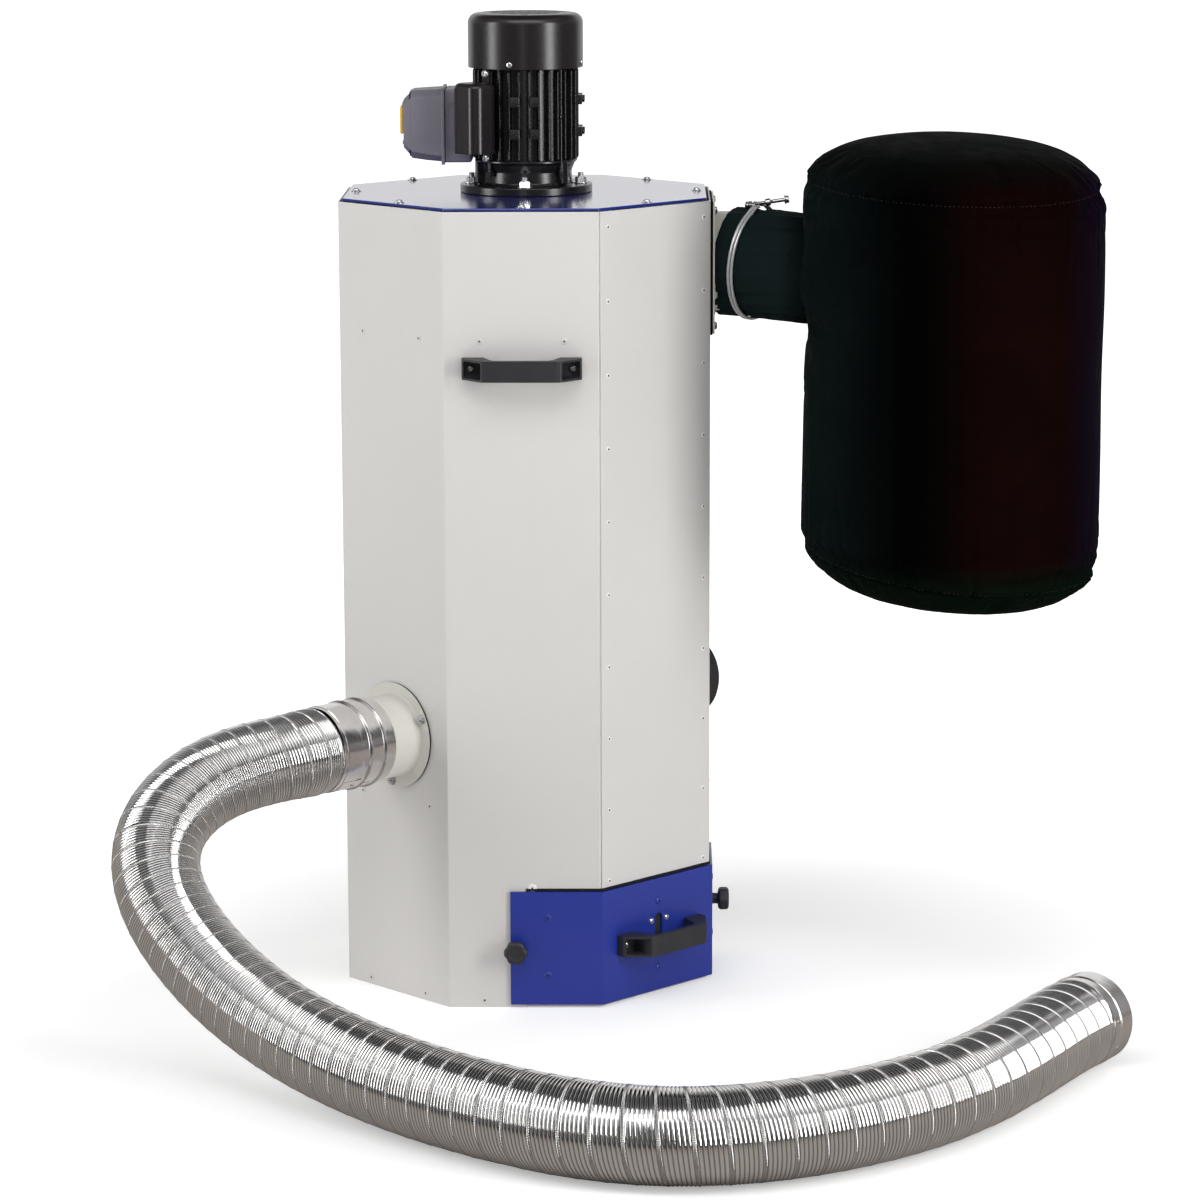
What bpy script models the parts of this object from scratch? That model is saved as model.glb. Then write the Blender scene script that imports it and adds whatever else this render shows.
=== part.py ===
"""Octagonal chip and dust collector with a top motor, a side filter bag,
a suction hose and a pull-out chip bin.

Metres, +Z up.  Origin: centre of the octagonal foot, on the floor.
The front face of the octagon looks along -Y, the bag hangs on the +X side,
the suction inlet is on the diagonal face between -X and -Y.

Local frames of faces: x along the face, y up, z outwards.
Outlines for revolve() are lists of (radius, local z).
"""
import math

import bmesh
import bpy
from mathutils import Matrix, Vector

for old_object in list(bpy.data.objects):
    bpy.data.objects.remove(old_object, do_unlink=True)

# ---------------------------------------------------------------- main dimensions
# face directions, degrees round +Z
FRONT, FRONT_RIGHT, RIGHT, REAR_RIGHT = -90, -45, 0, 45
REAR, REAR_LEFT, LEFT, FRONT_LEFT = 90, 135, 180, 225
ALL_FACES = (FRONT, FRONT_RIGHT, RIGHT, REAR_RIGHT, REAR, REAR_LEFT, LEFT, FRONT_LEFT)

FACE_WIDTH = 0.230
APOTHEM = FACE_WIDTH / 2 * (1 + math.sqrt(2))   # centre to face
CABINET_TOP = 1.198                 # top of the sheet-metal wall
SHEET = 0.0020                      # sheet thickness
GAP = 0.0004                        # air between neighbouring pieces
LIP = 0.028                         # return lip behind the separate panels
LIP_INSET = SHEET + GAP             # the panels lie outside the lips
INSIDE = APOTHEM - LIP_INSET - SHEET - 0.0006   # clear inside, behind the lips

BIN_Z0, BIN_Z1 = 0.0055, 0.1800     # bin front, bottom and top
BIN_OPEN_Z = 0.1842                 # top edge of the bin opening
BIN_OPEN_START = 0.0010             # opening edge, from the middle of the face
BIN_FLAP = 0.0225                   # how far the bin front laps the fixed wall
BIN_PROUD = 0.0050                  # bin front stands this far off the wall

KNOB_R = 0.0180
KNOB_Z = 0.0915
KNOB_OFFSET = 0.0140                # knob centre past the middle of its face
# (name, face, side of the face middle on which the knob sits)
KNOB_PLACES = (("left", FRONT, -1), ("right", RIGHT, 1))

FAN_FLOOR_Z = 1.0000                # partition under the fan chamber
PLATE_Z0, PLATE_Z1 = CABINET_TOP + GAP, 1.2026   # top plate

INLET_Z = 0.4030                    # height of the suction inlets
INLET_R = 0.0625                    # spigot outside radius
INLET_FLANGE_R = 0.0800
INLET_WALL = 0.0018
OUTLET_Z = 1.0945                   # centre of the outlet
OUTLET_HALF = 0.0995                # half size of the square outlet plate
OUTLET_R = 0.0770                   # outlet spigot outside radius
OUTLET_BORE = OUTLET_R - 0.0018

MOTOR_BOLT_CIRCLE = 0.165           # bolt circle diameter

# ---------------------------------------------------------------- materials


def material(name, colour, roughness, metallic=0.0):
    result = bpy.data.materials.new(name)
    result.use_nodes = True
    inputs = result.node_tree.nodes["Principled BSDF"].inputs
    inputs["Base Color"].default_value = (*colour, 1)
    inputs["Metallic"].default_value = metallic
    inputs["Roughness"].default_value = roughness
    result.diffuse_color = (*colour, 1)
    return result


GREY = material("cabinet_grey", colour=(0.66, 0.64, 0.61), roughness=0.45)
BLUE = material("panel_blue", colour=(0.025, 0.045, 0.28), roughness=0.35)
BLACK_CAST = material("motor_black", colour=(0.012, 0.012, 0.013), roughness=0.3, metallic=0.2)
BLACK_PLASTIC = material("black_plastic", colour=(0.03, 0.03, 0.032), roughness=0.5)
BOX_GREY = material("box_grey", colour=(0.19, 0.185, 0.21), roughness=0.5)
YELLOW = material("yellow_plastic", colour=(0.85, 0.62, 0.22), roughness=0.45)
GREEN = material("green_plastic", colour=(0.03, 0.35, 0.08), roughness=0.4)
RED = material("red_plastic", colour=(0.55, 0.03, 0.03), roughness=0.4)
ZINC = material("zinc", colour=(0.62, 0.63, 0.65), roughness=0.3, metallic=1.0)
STEEL = material("steel", colour=(0.45, 0.45, 0.46), roughness=0.35, metallic=1.0)
ALUMINIUM = material("aluminium", colour=(0.78, 0.78, 0.79), roughness=0.22, metallic=1.0)
GALVANISED = material("galvanised", colour=(0.6, 0.6, 0.6), roughness=0.35, metallic=0.9)
FOAM = material("foam_black", colour=(0.015, 0.015, 0.016), roughness=0.9)
FABRIC = material("bag_fabric", colour=(0.03, 0.036, 0.036), roughness=0.8)
WINDING = material("winding", colour=(0.45, 0.18, 0.08), roughness=0.4, metallic=0.6)
CREAM = material("flange_cream", colour=(0.70, 0.68, 0.62), roughness=0.4)

# ---------------------------------------------------------------- frames and points
IDENTITY = Matrix()
UP = Vector((0, 0, 1))


def direction(degrees):
    """Horizontal unit vector."""
    angle = math.radians(degrees)
    return Vector((math.cos(angle), math.sin(angle), 0))


def axes_frame(x_axis, y_axis, z_axis, origin):
    frame = Matrix((x_axis, y_axis, z_axis)).transposed().to_4x4()
    frame.translation = origin
    return frame


def upright_frame(normal, origin):
    """Local z along the horizontal normal, y up."""
    return axes_frame(Vector((-normal.y, normal.x, 0)), UP, normal, origin)


def face_frame(degrees, distance=APOTHEM, z=0.0, along=0.0):
    """Frame on an octagon face."""
    normal = direction(degrees)
    tangent = Vector((-normal.y, normal.x, 0))
    return upright_frame(normal, normal * distance + tangent * along + Vector((0, 0, z)))


def line_cross(degrees_a, distance_a, degrees_b, distance_b):
    """Corner of two face lines given by direction and distance."""
    ax, ay = math.cos(math.radians(degrees_a)), math.sin(math.radians(degrees_a))
    bx, by = math.cos(math.radians(degrees_b)), math.sin(math.radians(degrees_b))
    det = ax * by - ay * bx
    return ((distance_a * by - distance_b * ay) / det,
            (ax * distance_b - bx * distance_a) / det)


def on_face(degrees, distance, along):
    """Plan position of a point on a face line."""
    angle = math.radians(degrees)
    return (distance * math.cos(angle) - along * math.sin(angle),
            distance * math.sin(angle) + along * math.cos(angle))


def octagon(apothem):
    return [line_cross(face, apothem, face + 45, apothem) for face in ALL_FACES]


def circle(radius, count, z=0.0):
    return [(radius * math.cos(2 * math.pi * i / count),
             radius * math.sin(2 * math.pi * i / count), z) for i in range(count)]


def polygon_ring(inradius, sides, count, z):
    """Evenly angled points on a regular polygon, corners included."""
    sector = 2 * math.pi / sides
    points = []
    for i in range(count):
        angle = 2 * math.pi * i / count
        radius = inradius / math.cos(angle - round(angle / sector) * sector)
        points.append((radius * math.cos(angle), radius * math.sin(angle), z))
    return points


def octagon_ring(inradius, z):
    return polygon_ring(inradius, 8, 32, z)


def square_ring(inradius, z=0.0):
    return polygon_ring(inradius, 4, 40, z)


def upright_ring(radius, count, centre, degrees):
    """Circle standing across the horizontal direction."""
    axis = direction(degrees)
    side = Vector((-axis.y, axis.x, 0))
    points = []
    for i in range(count):
        angle = 2 * math.pi * i / count
        points.append(Vector(centre) + radius * (math.cos(angle) * side + math.sin(angle) * UP))
    return points


# ---------------------------------------------------------------- solids


def make(name, verts, faces, surface):
    """New object with merged vertices and outward normals."""
    mesh = bpy.data.meshes.new(name)
    mesh.from_pydata([tuple(v) for v in verts], [], faces)
    edit = bmesh.new()
    edit.from_mesh(mesh)
    bmesh.ops.remove_doubles(edit, verts=edit.verts, dist=1e-6)
    bmesh.ops.recalc_face_normals(edit, faces=edit.faces)
    if edit.calc_volume(signed=True) < 0:
        bmesh.ops.reverse_faces(edit, faces=edit.faces)
    edit.to_mesh(mesh)
    edit.free()
    solid = bpy.data.objects.new(name, mesh)
    bpy.context.collection.objects.link(solid)
    mesh.materials.append(surface)
    return solid


def skin(ring_count, count, closed=False):
    """Quads between successive rings of count points."""
    faces = []
    for j in range(ring_count if closed else ring_count - 1):
        this, following = j * count, ((j + 1) % ring_count) * count
        for i in range(count):
            k = (i + 1) % count
            faces.append((this + i, this + k, following + k, following + i))
    return faces


def loft(name, rings, surface, closed=False, frame=IDENTITY):
    """Skin rings; closed joins the last to the first, otherwise the ends are capped."""
    count = len(rings[0])
    verts = [frame @ Vector(p) for ring in rings for p in ring]
    faces = skin(len(rings), count, closed)
    if not closed:
        faces.append(tuple(range(count))[::-1])
        faces.append(tuple((len(rings) - 1) * count + i for i in range(count)))
    return make(name, verts, faces, surface)


def revolve(name, profile, segments, surface, frame=IDENTITY):
    """Turn a (radius, z) outline about local z.

    An outline that starts on the axis must also end on it."""
    if profile[0][0] > 0:
        rings = [circle(radius, segments, z) for radius, z in profile]
        return loft(name, rings, surface, closed=True, frame=frame)
    rings = [circle(radius, segments, z) for radius, z in profile[1:-1]]
    verts = [p for ring in rings for p in ring]
    verts += [(0, 0, profile[0][1]), (0, 0, profile[-1][1])]
    last_ring = (len(rings) - 1) * segments
    first_pole = len(verts) - 2
    last_pole = len(verts) - 1
    faces = skin(len(rings), segments)
    for i in range(segments):
        k = (i + 1) % segments
        faces.append((first_pole, i, k))
        faces.append((last_ring + i, last_ring + k, last_pole))
    return make(name, [frame @ Vector(v) for v in verts], faces, surface)


def prism(name, outline, z0, z1, surface, frame=IDENTITY):
    """Extrude a simple polygon from z0 to z1."""
    return loft(name, [[(x, y, z) for x, y in outline] for z in (z0, z1)], surface,
                frame=frame)


def box(name, low, high, surface, frame=IDENTITY, bevel=0.0):
    x0, y0, z0 = low
    x1, y1, z1 = high
    solid = prism(name, [(x0, y0), (x1, y0), (x1, y1), (x0, y1)], z0, z1, surface, frame)
    if bevel:
        soften(solid, bevel)
    return solid


def strip(name, points, thickness, z0, z1, surface):
    """Vertical strip along an open polyline."""
    left, right = [], []
    for i, point in enumerate(points):
        before = Vector(points[max(0, i - 1)])
        after = Vector(points[min(len(points) - 1, i + 1)])
        along = (after - before).normalized()
        normal = Vector((-along.y, along.x))
        left.append(tuple(Vector(point) + normal * thickness / 2))
        right.append(tuple(Vector(point) - normal * thickness / 2))
    return prism(name, left + right[::-1], z0, z1, surface)


def soften(solid, width, angle=30):
    """Round the edges sharper than angle degrees."""
    edit = bmesh.new()
    edit.from_mesh(solid.data)
    edges = [e for e in edit.edges if len(e.link_faces) == 2
             and e.calc_face_angle() > math.radians(angle)]
    bmesh.ops.bevel(edit, geom=edges, offset=width, segments=2, affect="EDGES",
                    profile=0.5, clamp_overlap=True)
    bmesh.ops.remove_doubles(edit, verts=edit.verts, dist=1e-6)
    edit.to_mesh(solid.data)
    edit.free()


def boolean(target, tool, operation):
    """Apply a boolean to target and remove the tool."""
    modifier = target.modifiers.new("cut", "BOOLEAN")
    modifier.operation = operation
    modifier.solver = "EXACT"
    modifier.object = tool
    depsgraph = bpy.context.evaluated_depsgraph_get()
    depsgraph.update()
    mesh = bpy.data.meshes.new_from_object(target.evaluated_get(depsgraph))
    target.modifiers.clear()
    old_mesh = target.data
    target.data = mesh
    mesh.name = target.name
    bpy.data.meshes.remove(old_mesh)
    edit = bmesh.new()
    edit.from_mesh(mesh)
    bmesh.ops.remove_doubles(edit, verts=edit.verts, dist=5e-6)
    bmesh.ops.dissolve_degenerate(edit, edges=edit.edges, dist=5e-6)
    edit.to_mesh(mesh)
    edit.free()
    # keep a single material slot
    surface = mesh.materials[0]
    for polygon in mesh.polygons:
        polygon.material_index = 0
    mesh.materials.clear()
    mesh.materials.append(surface)
    bpy.data.objects.remove(tool, do_unlink=True)


def subtract(target, tool):
    boolean(target, tool, "DIFFERENCE")


def fuse(target, tool):
    boolean(target, tool, "UNION")


def cut_hole(solid, radius, z0, z1, frame=IDENTITY, x=0.0, y=0.0, segments=24):
    outline = [(x + dx, y + dy) for dx, dy, _ in circle(radius, segments)]
    subtract(solid, prism("cut", outline, z0, z1, GREY, frame))


def cut_block(solid, low, high, frame=IDENTITY):
    subtract(solid, box("cut", low, high, GREY, frame))


def set_origin(solid, point):
    point = Vector(point)
    solid.data.transform(Matrix.Translation(-point))
    solid.location = point


# ---------------------------------------------------------------- cabinet
NOTCH_HALF = 0.006                  # clearance round a clamp stud
BOLT_HOLE_R = 0.0057
SUCTION_HOLE_R = 0.098
TOP_PLATE_APOTHEM = APOTHEM - 0.006
FUNNEL_Z = 0.2930                   # foot of the funnel's upright rim
FUNNEL_MOUTH_R = 0.150
FUNNEL_WALL = 0.0015
MOTOR_BOLTS = [(MOTOR_BOLT_CIRCLE / 2 * math.cos(math.radians(angle)),
                MOTOR_BOLT_CIRCLE / 2 * math.sin(math.radians(angle)))
               for angle in (-90, 0, 90, 180)]


def wall_strip(name, first):
    """Three faces bent from one sheet, with a joggled lip at both ends."""
    last = first + 90
    lip_end = FACE_WIDTH / 2 - LIP

    def side(inset):
        wall = APOTHEM - inset
        lip = APOTHEM - LIP_INSET - inset
        return [on_face(first - 45, lip, lip_end),
                line_cross(first - 45, lip, first, wall),
                line_cross(first, wall, first + 45, wall),
                line_cross(first + 45, wall, last, wall),
                line_cross(last, wall, last + 45, lip),
                on_face(last + 45, lip, -lip_end)]

    return prism(name, side(0.0) + side(SHEET)[::-1], 0.0, CABINET_TOP, GREY)


def build_shells():
    front_left = wall_strip("shell_front_left", LEFT)
    rear_right = wall_strip("shell_rear_right", RIGHT)
    for shell, (_, face, side) in zip((front_left, rear_right), KNOB_PLACES):
        frame = face_frame(face)
        # this shell's part of the bin opening
        x0, x1 = sorted((-side * BIN_OPEN_START, -side * 0.20))
        cut_block(shell, (x0, -0.01, -0.06), (x1, BIN_OPEN_Z, 0.05), frame)
        # open-ended notch that lets the clamp stud slide out with the bin
        x0, x1 = sorted((side * (KNOB_OFFSET + NOTCH_HALF), -side * 0.03))
        cut_block(shell, (x0, KNOB_Z - NOTCH_HALF, -0.03), (x1, KNOB_Z + NOTCH_HALF, 0.01),
                  frame)
    # air openings
    for shell, radius, face, z in ((front_left, INLET_R - 0.002, FRONT_LEFT, INLET_Z),
                                   (rear_right, INLET_R - 0.002, REAR_RIGHT, INLET_Z),
                                   (rear_right, OUTLET_BORE, RIGHT, OUTLET_Z)):
        cut_hole(shell, radius, -0.02, 0.02, face_frame(face, z=z), segments=40)


def build_panels():
    half = FACE_WIDTH / 2 - GAP / 2
    for name, face, bottom in (("panel_front_right", FRONT_RIGHT, BIN_OPEN_Z),
                               ("panel_rear_left", REAR_LEFT, 0.0)):
        box(name, (-half, bottom, -SHEET), (half, CABINET_TOP, 0.0), GREY, face_frame(face))


def build_base():
    """Tray with an upturned rim, except at the bin opening."""
    base = prism("base_plate", octagon(INSIDE), 0.0, 0.022, GREY)
    subtract(base, prism("cut", octagon(INSIDE - SHEET), 0.003, 0.05, GREY))
    cut_block(base, (-0.206, 0.0031, -0.25), (0.206, 0.05, 0.05), face_frame(FRONT_RIGHT))


def build_fan_floor():
    """Partition with an upturned rim and a round suction hole."""
    rim_z = FAN_FLOOR_Z + 0.018
    upper_z = FAN_FLOOR_Z + SHEET
    loft("fan_floor_plate", [
        circle(SUCTION_HOLE_R, 32, FAN_FLOOR_Z), octagon_ring(INSIDE, FAN_FLOOR_Z),
        octagon_ring(INSIDE, rim_z), octagon_ring(INSIDE - SHEET, rim_z),
        octagon_ring(INSIDE - SHEET, upper_z), circle(SUCTION_HOLE_R, 32, upper_z)],
        GREY, closed=True)


def build_top_plate():
    """Plate with a softened edge, a centre hole and the motor bolt holes."""
    hole_r = 0.034
    top = loft("top_plate", [
        circle(hole_r, 32, PLATE_Z0), octagon_ring(TOP_PLATE_APOTHEM - 0.0008, PLATE_Z0),
        octagon_ring(TOP_PLATE_APOTHEM, PLATE_Z0 + 0.0010),
        octagon_ring(TOP_PLATE_APOTHEM, PLATE_Z1 - 0.0014),
        octagon_ring(TOP_PLATE_APOTHEM - 0.0014, PLATE_Z1), circle(hole_r, 32, PLATE_Z1)],
        BLUE, closed=True)
    for x, y in MOTOR_BOLTS:
        cut_hole(top, BOLT_HOLE_R, PLATE_Z0 - 0.01, PLATE_Z1 + 0.01, x=x, y=y, segments=14)


def build_funnel():
    """Octagonal rim, sloping walls and a round mouth over the bin."""
    rim_z = FUNNEL_Z + 0.020
    inner_mouth_r = FUNNEL_MOUTH_R - FUNNEL_WALL
    loft("chip_funnel", [
        octagon_ring(INSIDE, rim_z), octagon_ring(INSIDE, FUNNEL_Z),
        circle(FUNNEL_MOUTH_R, 32, 0.1960), circle(FUNNEL_MOUTH_R, 32, 0.1880),
        circle(inner_mouth_r, 32, 0.1880), circle(inner_mouth_r, 32, 0.1965),
        octagon_ring(INSIDE - FUNNEL_WALL, FUNNEL_Z + 0.0008),
        octagon_ring(INSIDE - FUNNEL_WALL, rim_z)],
        GREY, closed=True)


# ---------------------------------------------------------------- chip bin
TUB_HALF = 0.1880                   # half width of the bin tub
TUB_BACK = 0.1850                   # depth of the tub behind the centre
TUB_WALL = 0.0018
STUD_HOLE_R = 0.0046
SLOT_WIDTH, SLOT_HEIGHT, SLOT_Z = 0.0120, 0.040, 0.1050


def opening_strip(name, outer, inner, z0, z1, start, surface):
    """Strip over the front, diagonal and right faces.

    outer and inner are offsets from the wall; start is its x on the front face."""
    def side(offset):
        wall = APOTHEM + offset
        return [on_face(FRONT, wall, start),
                line_cross(FRONT, wall, FRONT_RIGHT, wall),
                line_cross(FRONT_RIGHT, wall, RIGHT, wall),
                on_face(RIGHT, wall, -start)]

    return prism(name, side(outer) + side(inner)[::-1], z0, z1, surface)


def build_bin_gasket():
    opening_strip("bin_gasket", 0.0012, -0.011, BIN_Z1 + 0.0007, BIN_OPEN_Z - GAP,
                  BIN_OPEN_START + 0.0006, FOAM)


def slot_outline(width, height, steps=10):
    """Upright slot with round ends."""
    radius = width / 2
    points = []
    for sign in (1, -1):
        for i in range(steps + 1):
            angle = math.pi * i / steps
            points.append((sign * radius * math.cos(angle),
                           sign * (height / 2 - radius + radius * math.sin(angle))))
    return points


def build_bin_front():
    front = opening_strip("bin_front", BIN_PROUD, BIN_PROUD - 0.0040, BIN_Z0, BIN_Z1,
                          -BIN_FLAP, BLUE)
    soften(front, 0.0012)
    for _, face, side in KNOB_PLACES:
        cut_hole(front, STUD_HOLE_R, -0.01, 0.02,
                 face_frame(face, z=KNOB_Z, along=side * KNOB_OFFSET), segments=20)
    subtract(front, prism("cut", slot_outline(SLOT_WIDTH, SLOT_HEIGHT), -0.01, 0.02, GREY,
                          face_frame(FRONT_RIGHT, z=SLOT_Z)))


def tub_outline(inset):
    """Follows the three faces at the front, square at the back."""
    wall = APOTHEM - 0.0016 - inset
    half = TUB_HALF - inset
    back = -TUB_BACK + inset
    side_end = wall * math.sqrt(2) - half       # where the side meets the outer face
    corner = wall * math.tan(math.radians(22.5))
    return [on_face(FRONT_RIGHT, distance, along) for distance, along in (
        (back, -half), (side_end, -half), (wall, -corner),
        (wall, corner), (side_end, half), (back, half))]


def build_bin_tub():
    tub = prism("bin_tub", tub_outline(0.0), 0.0062, 0.1740, GREY)
    subtract(tub, prism("cut", tub_outline(TUB_WALL), 0.0080, 0.20, GREY))


# ---------------------------------------------------------------- handles
FRONT_HANDLE_Z = 0.9700
BIN_HANDLE_Z = 0.0920
HANDLE_HALF_WIDTH = 0.0155
HANDLE_SCREW_X = 0.075
SCREW_SEAT = 0.0063                 # underside of the head, off the handle foot
SCREW_HEAD_R, SCREW_HEAD_H = 0.0047, 0.0030
SCREW_SHANK_R, SCREW_SHANK_L = 0.0023, 0.0052
# bow side view: (along, out)
HANDLE_OUTLINE = [
    (-0.088, 0.0), (-0.088, 0.013), (-0.0855, 0.0175), (-0.058, 0.0440),
    (-0.052, 0.0465), (0.052, 0.0465), (0.058, 0.0440), (0.0855, 0.0175),
    (0.088, 0.013), (0.088, 0.0), (0.056, 0.0), (0.051, 0.010), (0.046, 0.030),
    (0.038, 0.0365), (-0.038, 0.0365), (-0.046, 0.030), (-0.051, 0.010),
    (-0.056, 0.0)]


def handle_screw(name, frame):
    tip = SCREW_SEAT - SCREW_SHANK_L
    profile = [(0, tip), (SCREW_SHANK_R, tip), (SCREW_SHANK_R, SCREW_SEAT),
               (SCREW_HEAD_R, SCREW_SEAT), (SCREW_HEAD_R, SCREW_SEAT + SCREW_HEAD_H * 0.5),
               (SCREW_HEAD_R * 0.7, SCREW_SEAT + SCREW_HEAD_H * 0.9),
               (0, SCREW_SEAT + SCREW_HEAD_H)]
    revolve(name, profile, 14, ZINC, frame)


def build_handle(name, frame):
    """Bow handle with a screw pocket in each foot, and its two screws."""
    swap_y_z = Matrix(((1, 0, 0, 0), (0, 0, 1, 0), (0, 1, 0, 0), (0, 0, 0, 1)))
    bow = prism(name, HANDLE_OUTLINE, -HANDLE_HALF_WIDTH, HANDLE_HALF_WIDTH,
                BLACK_PLASTIC, frame @ swap_y_z)
    soften(bow, 0.0014, 35)
    for tag, side in (("left", -1), ("right", 1)):
        x0, x1 = sorted((side * 0.0835, side * 0.0580))
        cut_block(bow, (x0, -0.0108, 0.0060), (x1, 0.0108, 0.06), frame)
        screw_x = side * HANDLE_SCREW_X
        cut_hole(bow, 0.0027, -0.01, 0.02, frame, x=screw_x, segments=16)
        handle_screw(name + "_screw_" + tag, frame @ Matrix.Translation((screw_x, 0, 0)))


def build_handles():
    build_handle("front_handle", face_frame(FRONT, APOTHEM + GAP, z=FRONT_HANDLE_Z))
    build_handle("bin_handle",
                 face_frame(FRONT_RIGHT, APOTHEM + BIN_PROUD + GAP, z=BIN_HANDLE_Z))


# ---------------------------------------------------------------- clamp knobs


def build_knob(name, frame):
    """Lobed clamp knob with its stud, one moulded piece."""
    lobe = 0.0013
    outline = []
    for i in range(36):
        angle = 2 * math.pi * i / 36
        radius = KNOB_R - lobe + lobe * math.cos(6 * angle)
        outline.append((radius * math.cos(angle), radius * math.sin(angle)))
    knob = prism(name, outline, 0.0160, 0.0325, BLACK_PLASTIC, frame)
    soften(knob, 0.0030, 50)
    stem_z = BIN_PROUD + 0.0006
    fuse(knob, revolve("stem", [(0, stem_z), (0.0086, stem_z), (0.0082, 0.0168),
                                (0, 0.0180)], 18, BLACK_PLASTIC, frame))
    fuse(knob, revolve("stud", [(0, -0.0105), (0.0034, -0.0105), (0.0040, -0.0098),
                                (0.0040, BIN_PROUD + 0.001), (0, BIN_PROUD + 0.002)],
                       14, BLACK_PLASTIC, frame))
    set_origin(knob, frame.translation)


def build_knobs():
    for tag, face, side in KNOB_PLACES:
        build_knob("knob_" + tag, face_frame(face, z=KNOB_Z, along=side * KNOB_OFFSET))


# ---------------------------------------------------------------- inlets
INLET_FRAME = face_frame(FRONT_LEFT, z=INLET_Z)
REAR_INLET_FRAME = face_frame(REAR_RIGHT, z=INLET_Z)
INLET_BOLT_CIRCLE_R = 0.0710
SLIP_FIT_R = INLET_R + 0.0007       # bore of what slides over a spigot


def build_inlet(name, frame, length):
    """Round flange with a spigot."""
    bore = INLET_R - INLET_WALL
    face_z = 0.0036
    revolve(name, [(bore, GAP), (INLET_FLANGE_R, GAP), (INLET_FLANGE_R, 0.0030),
                   (INLET_FLANGE_R - 0.0008, face_z), (INLET_R + 0.0030, face_z),
                   (INLET_R, 0.0066), (INLET_R, length), (bore, length)], 36, CREAM, frame)


def build_inlet_bolts():
    profile = [(0, 0.0040), (0.0058, 0.0040), (0.0058, 0.0046), (0.0054, 0.0082),
               (0, 0.0086)]
    for i in range(3):
        angle = math.radians(27 + 120 * i)
        place = Matrix.Translation((INLET_BOLT_CIRCLE_R * math.cos(angle),
                                    INLET_BOLT_CIRCLE_R * math.sin(angle), 0))
        revolve("inlet_bolt_%d" % (i + 1), profile, 6, ZINC, INLET_FRAME @ place)


def build_inlet_cap():
    """Cap over the rear spigot, with a lip at its open end."""
    bore = SLIP_FIT_R
    revolve("rear_inlet_cap", [
        (0, 0.0745), (INLET_R - 0.004, 0.0745), (bore, 0.0745), (bore, 0.0560),
        (bore + 0.0040, 0.0560), (bore + 0.0040, 0.0600), (bore + 0.0025, 0.0620),
        (bore + 0.0025, 0.0770), (bore - 0.0040, 0.0845), (bore - 0.010, 0.0845),
        (bore - 0.014, 0.0795), (0, 0.0795)], 28, BLACK_PLASTIC, REAR_INLET_FRAME)


def build_inlets():
    build_inlet("inlet_flange", INLET_FRAME, 0.0950)
    build_inlet("rear_inlet_flange", REAR_INLET_FRAME, 0.0740)
    build_inlet_bolts()
    build_inlet_cap()


# ---------------------------------------------------------------- outlet
GASKET_FACE = 0.0036                # outer side of the gasket, off the wall
OUTLET_PLATE_X0 = APOTHEM + GASKET_FACE + GAP
OUTLET_PLATE_X1 = OUTLET_PLATE_X0 + 0.0028
NECK_DEGREES = -30.0                # the outlet elbow ends at this angle
NECK_START = Vector((0.3280, -0.0093, OUTLET_Z))   # start of the straight end
# elbow that turns from +X to the neck direction: (centre, degrees)
ELBOW = [(Vector((0.2925, 0, OUTLET_Z)), NECK_DEGREES / 6),
         (Vector((0.3018, -0.0002, OUTLET_Z)), NECK_DEGREES / 3),
         (Vector((0.3152, -0.0036, OUTLET_Z)), NECK_DEGREES * 2 / 3),
         (NECK_START, NECK_DEGREES),
         (NECK_START + direction(NECK_DEGREES) * 0.0440, NECK_DEGREES)]


def build_outlet_gasket():
    loft("outlet_gasket", [circle(OUTLET_BORE, 40, GAP), square_ring(OUTLET_HALF, GAP),
                           square_ring(OUTLET_HALF, GASKET_FACE),
                           circle(OUTLET_BORE, 40, GASKET_FACE)],
         FOAM, closed=True, frame=face_frame(RIGHT, z=OUTLET_Z))


def build_outlet_flange():
    """Square plate with a bent round spigot."""
    def on_plate(ring, x):
        return [Vector((x, y, OUTLET_Z + z)) for y, z, _ in ring]

    rings = [on_plate(circle(OUTLET_BORE, 40), OUTLET_PLATE_X0),
             on_plate(square_ring(OUTLET_HALF), OUTLET_PLATE_X0),
             on_plate(square_ring(OUTLET_HALF), OUTLET_PLATE_X1),
             on_plate(circle(OUTLET_R, 40), OUTLET_PLATE_X1)]
    rings += [upright_ring(OUTLET_R, 40, centre, degrees) for centre, degrees in ELBOW]
    rings += [upright_ring(OUTLET_BORE, 40, centre, degrees) for centre, degrees in ELBOW[::-1]]
    loft("outlet_flange", rings, GALVANISED, closed=True)


# ---------------------------------------------------------------- fan
WHEEL_Z0, WHEEL_Z1 = 1.0450, 1.1500   # foot of the vanes, top of the back plate
WHEEL_R = 0.1500
VANE_COUNT = 8
# (radius, angle from the vane's root in radians)
VANE_POINTS = ((0.062, 0.0), (0.090, -0.16), (0.120, -0.29), (0.1485, -0.40))


def build_fan_scroll():
    """Spiral wall that opens towards the outlet on +X."""
    mouth_x, mouth_y = 0.2660, 0.0990
    points = [(mouth_x, mouth_y), (0.2000, 0.0860)]
    for i in range(25):
        angle = math.radians(26 + i * (283.0 / 24))
        radius = 0.1760 + 0.0560 * i / 24
        points.append((radius * math.cos(angle), radius * math.sin(angle)))
    points.append((mouth_x, -mouth_y))
    strip("fan_scroll", points, SHEET, FAN_FLOOR_Z + SHEET + GAP, CABINET_TOP - GAP, GREY)


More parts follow.
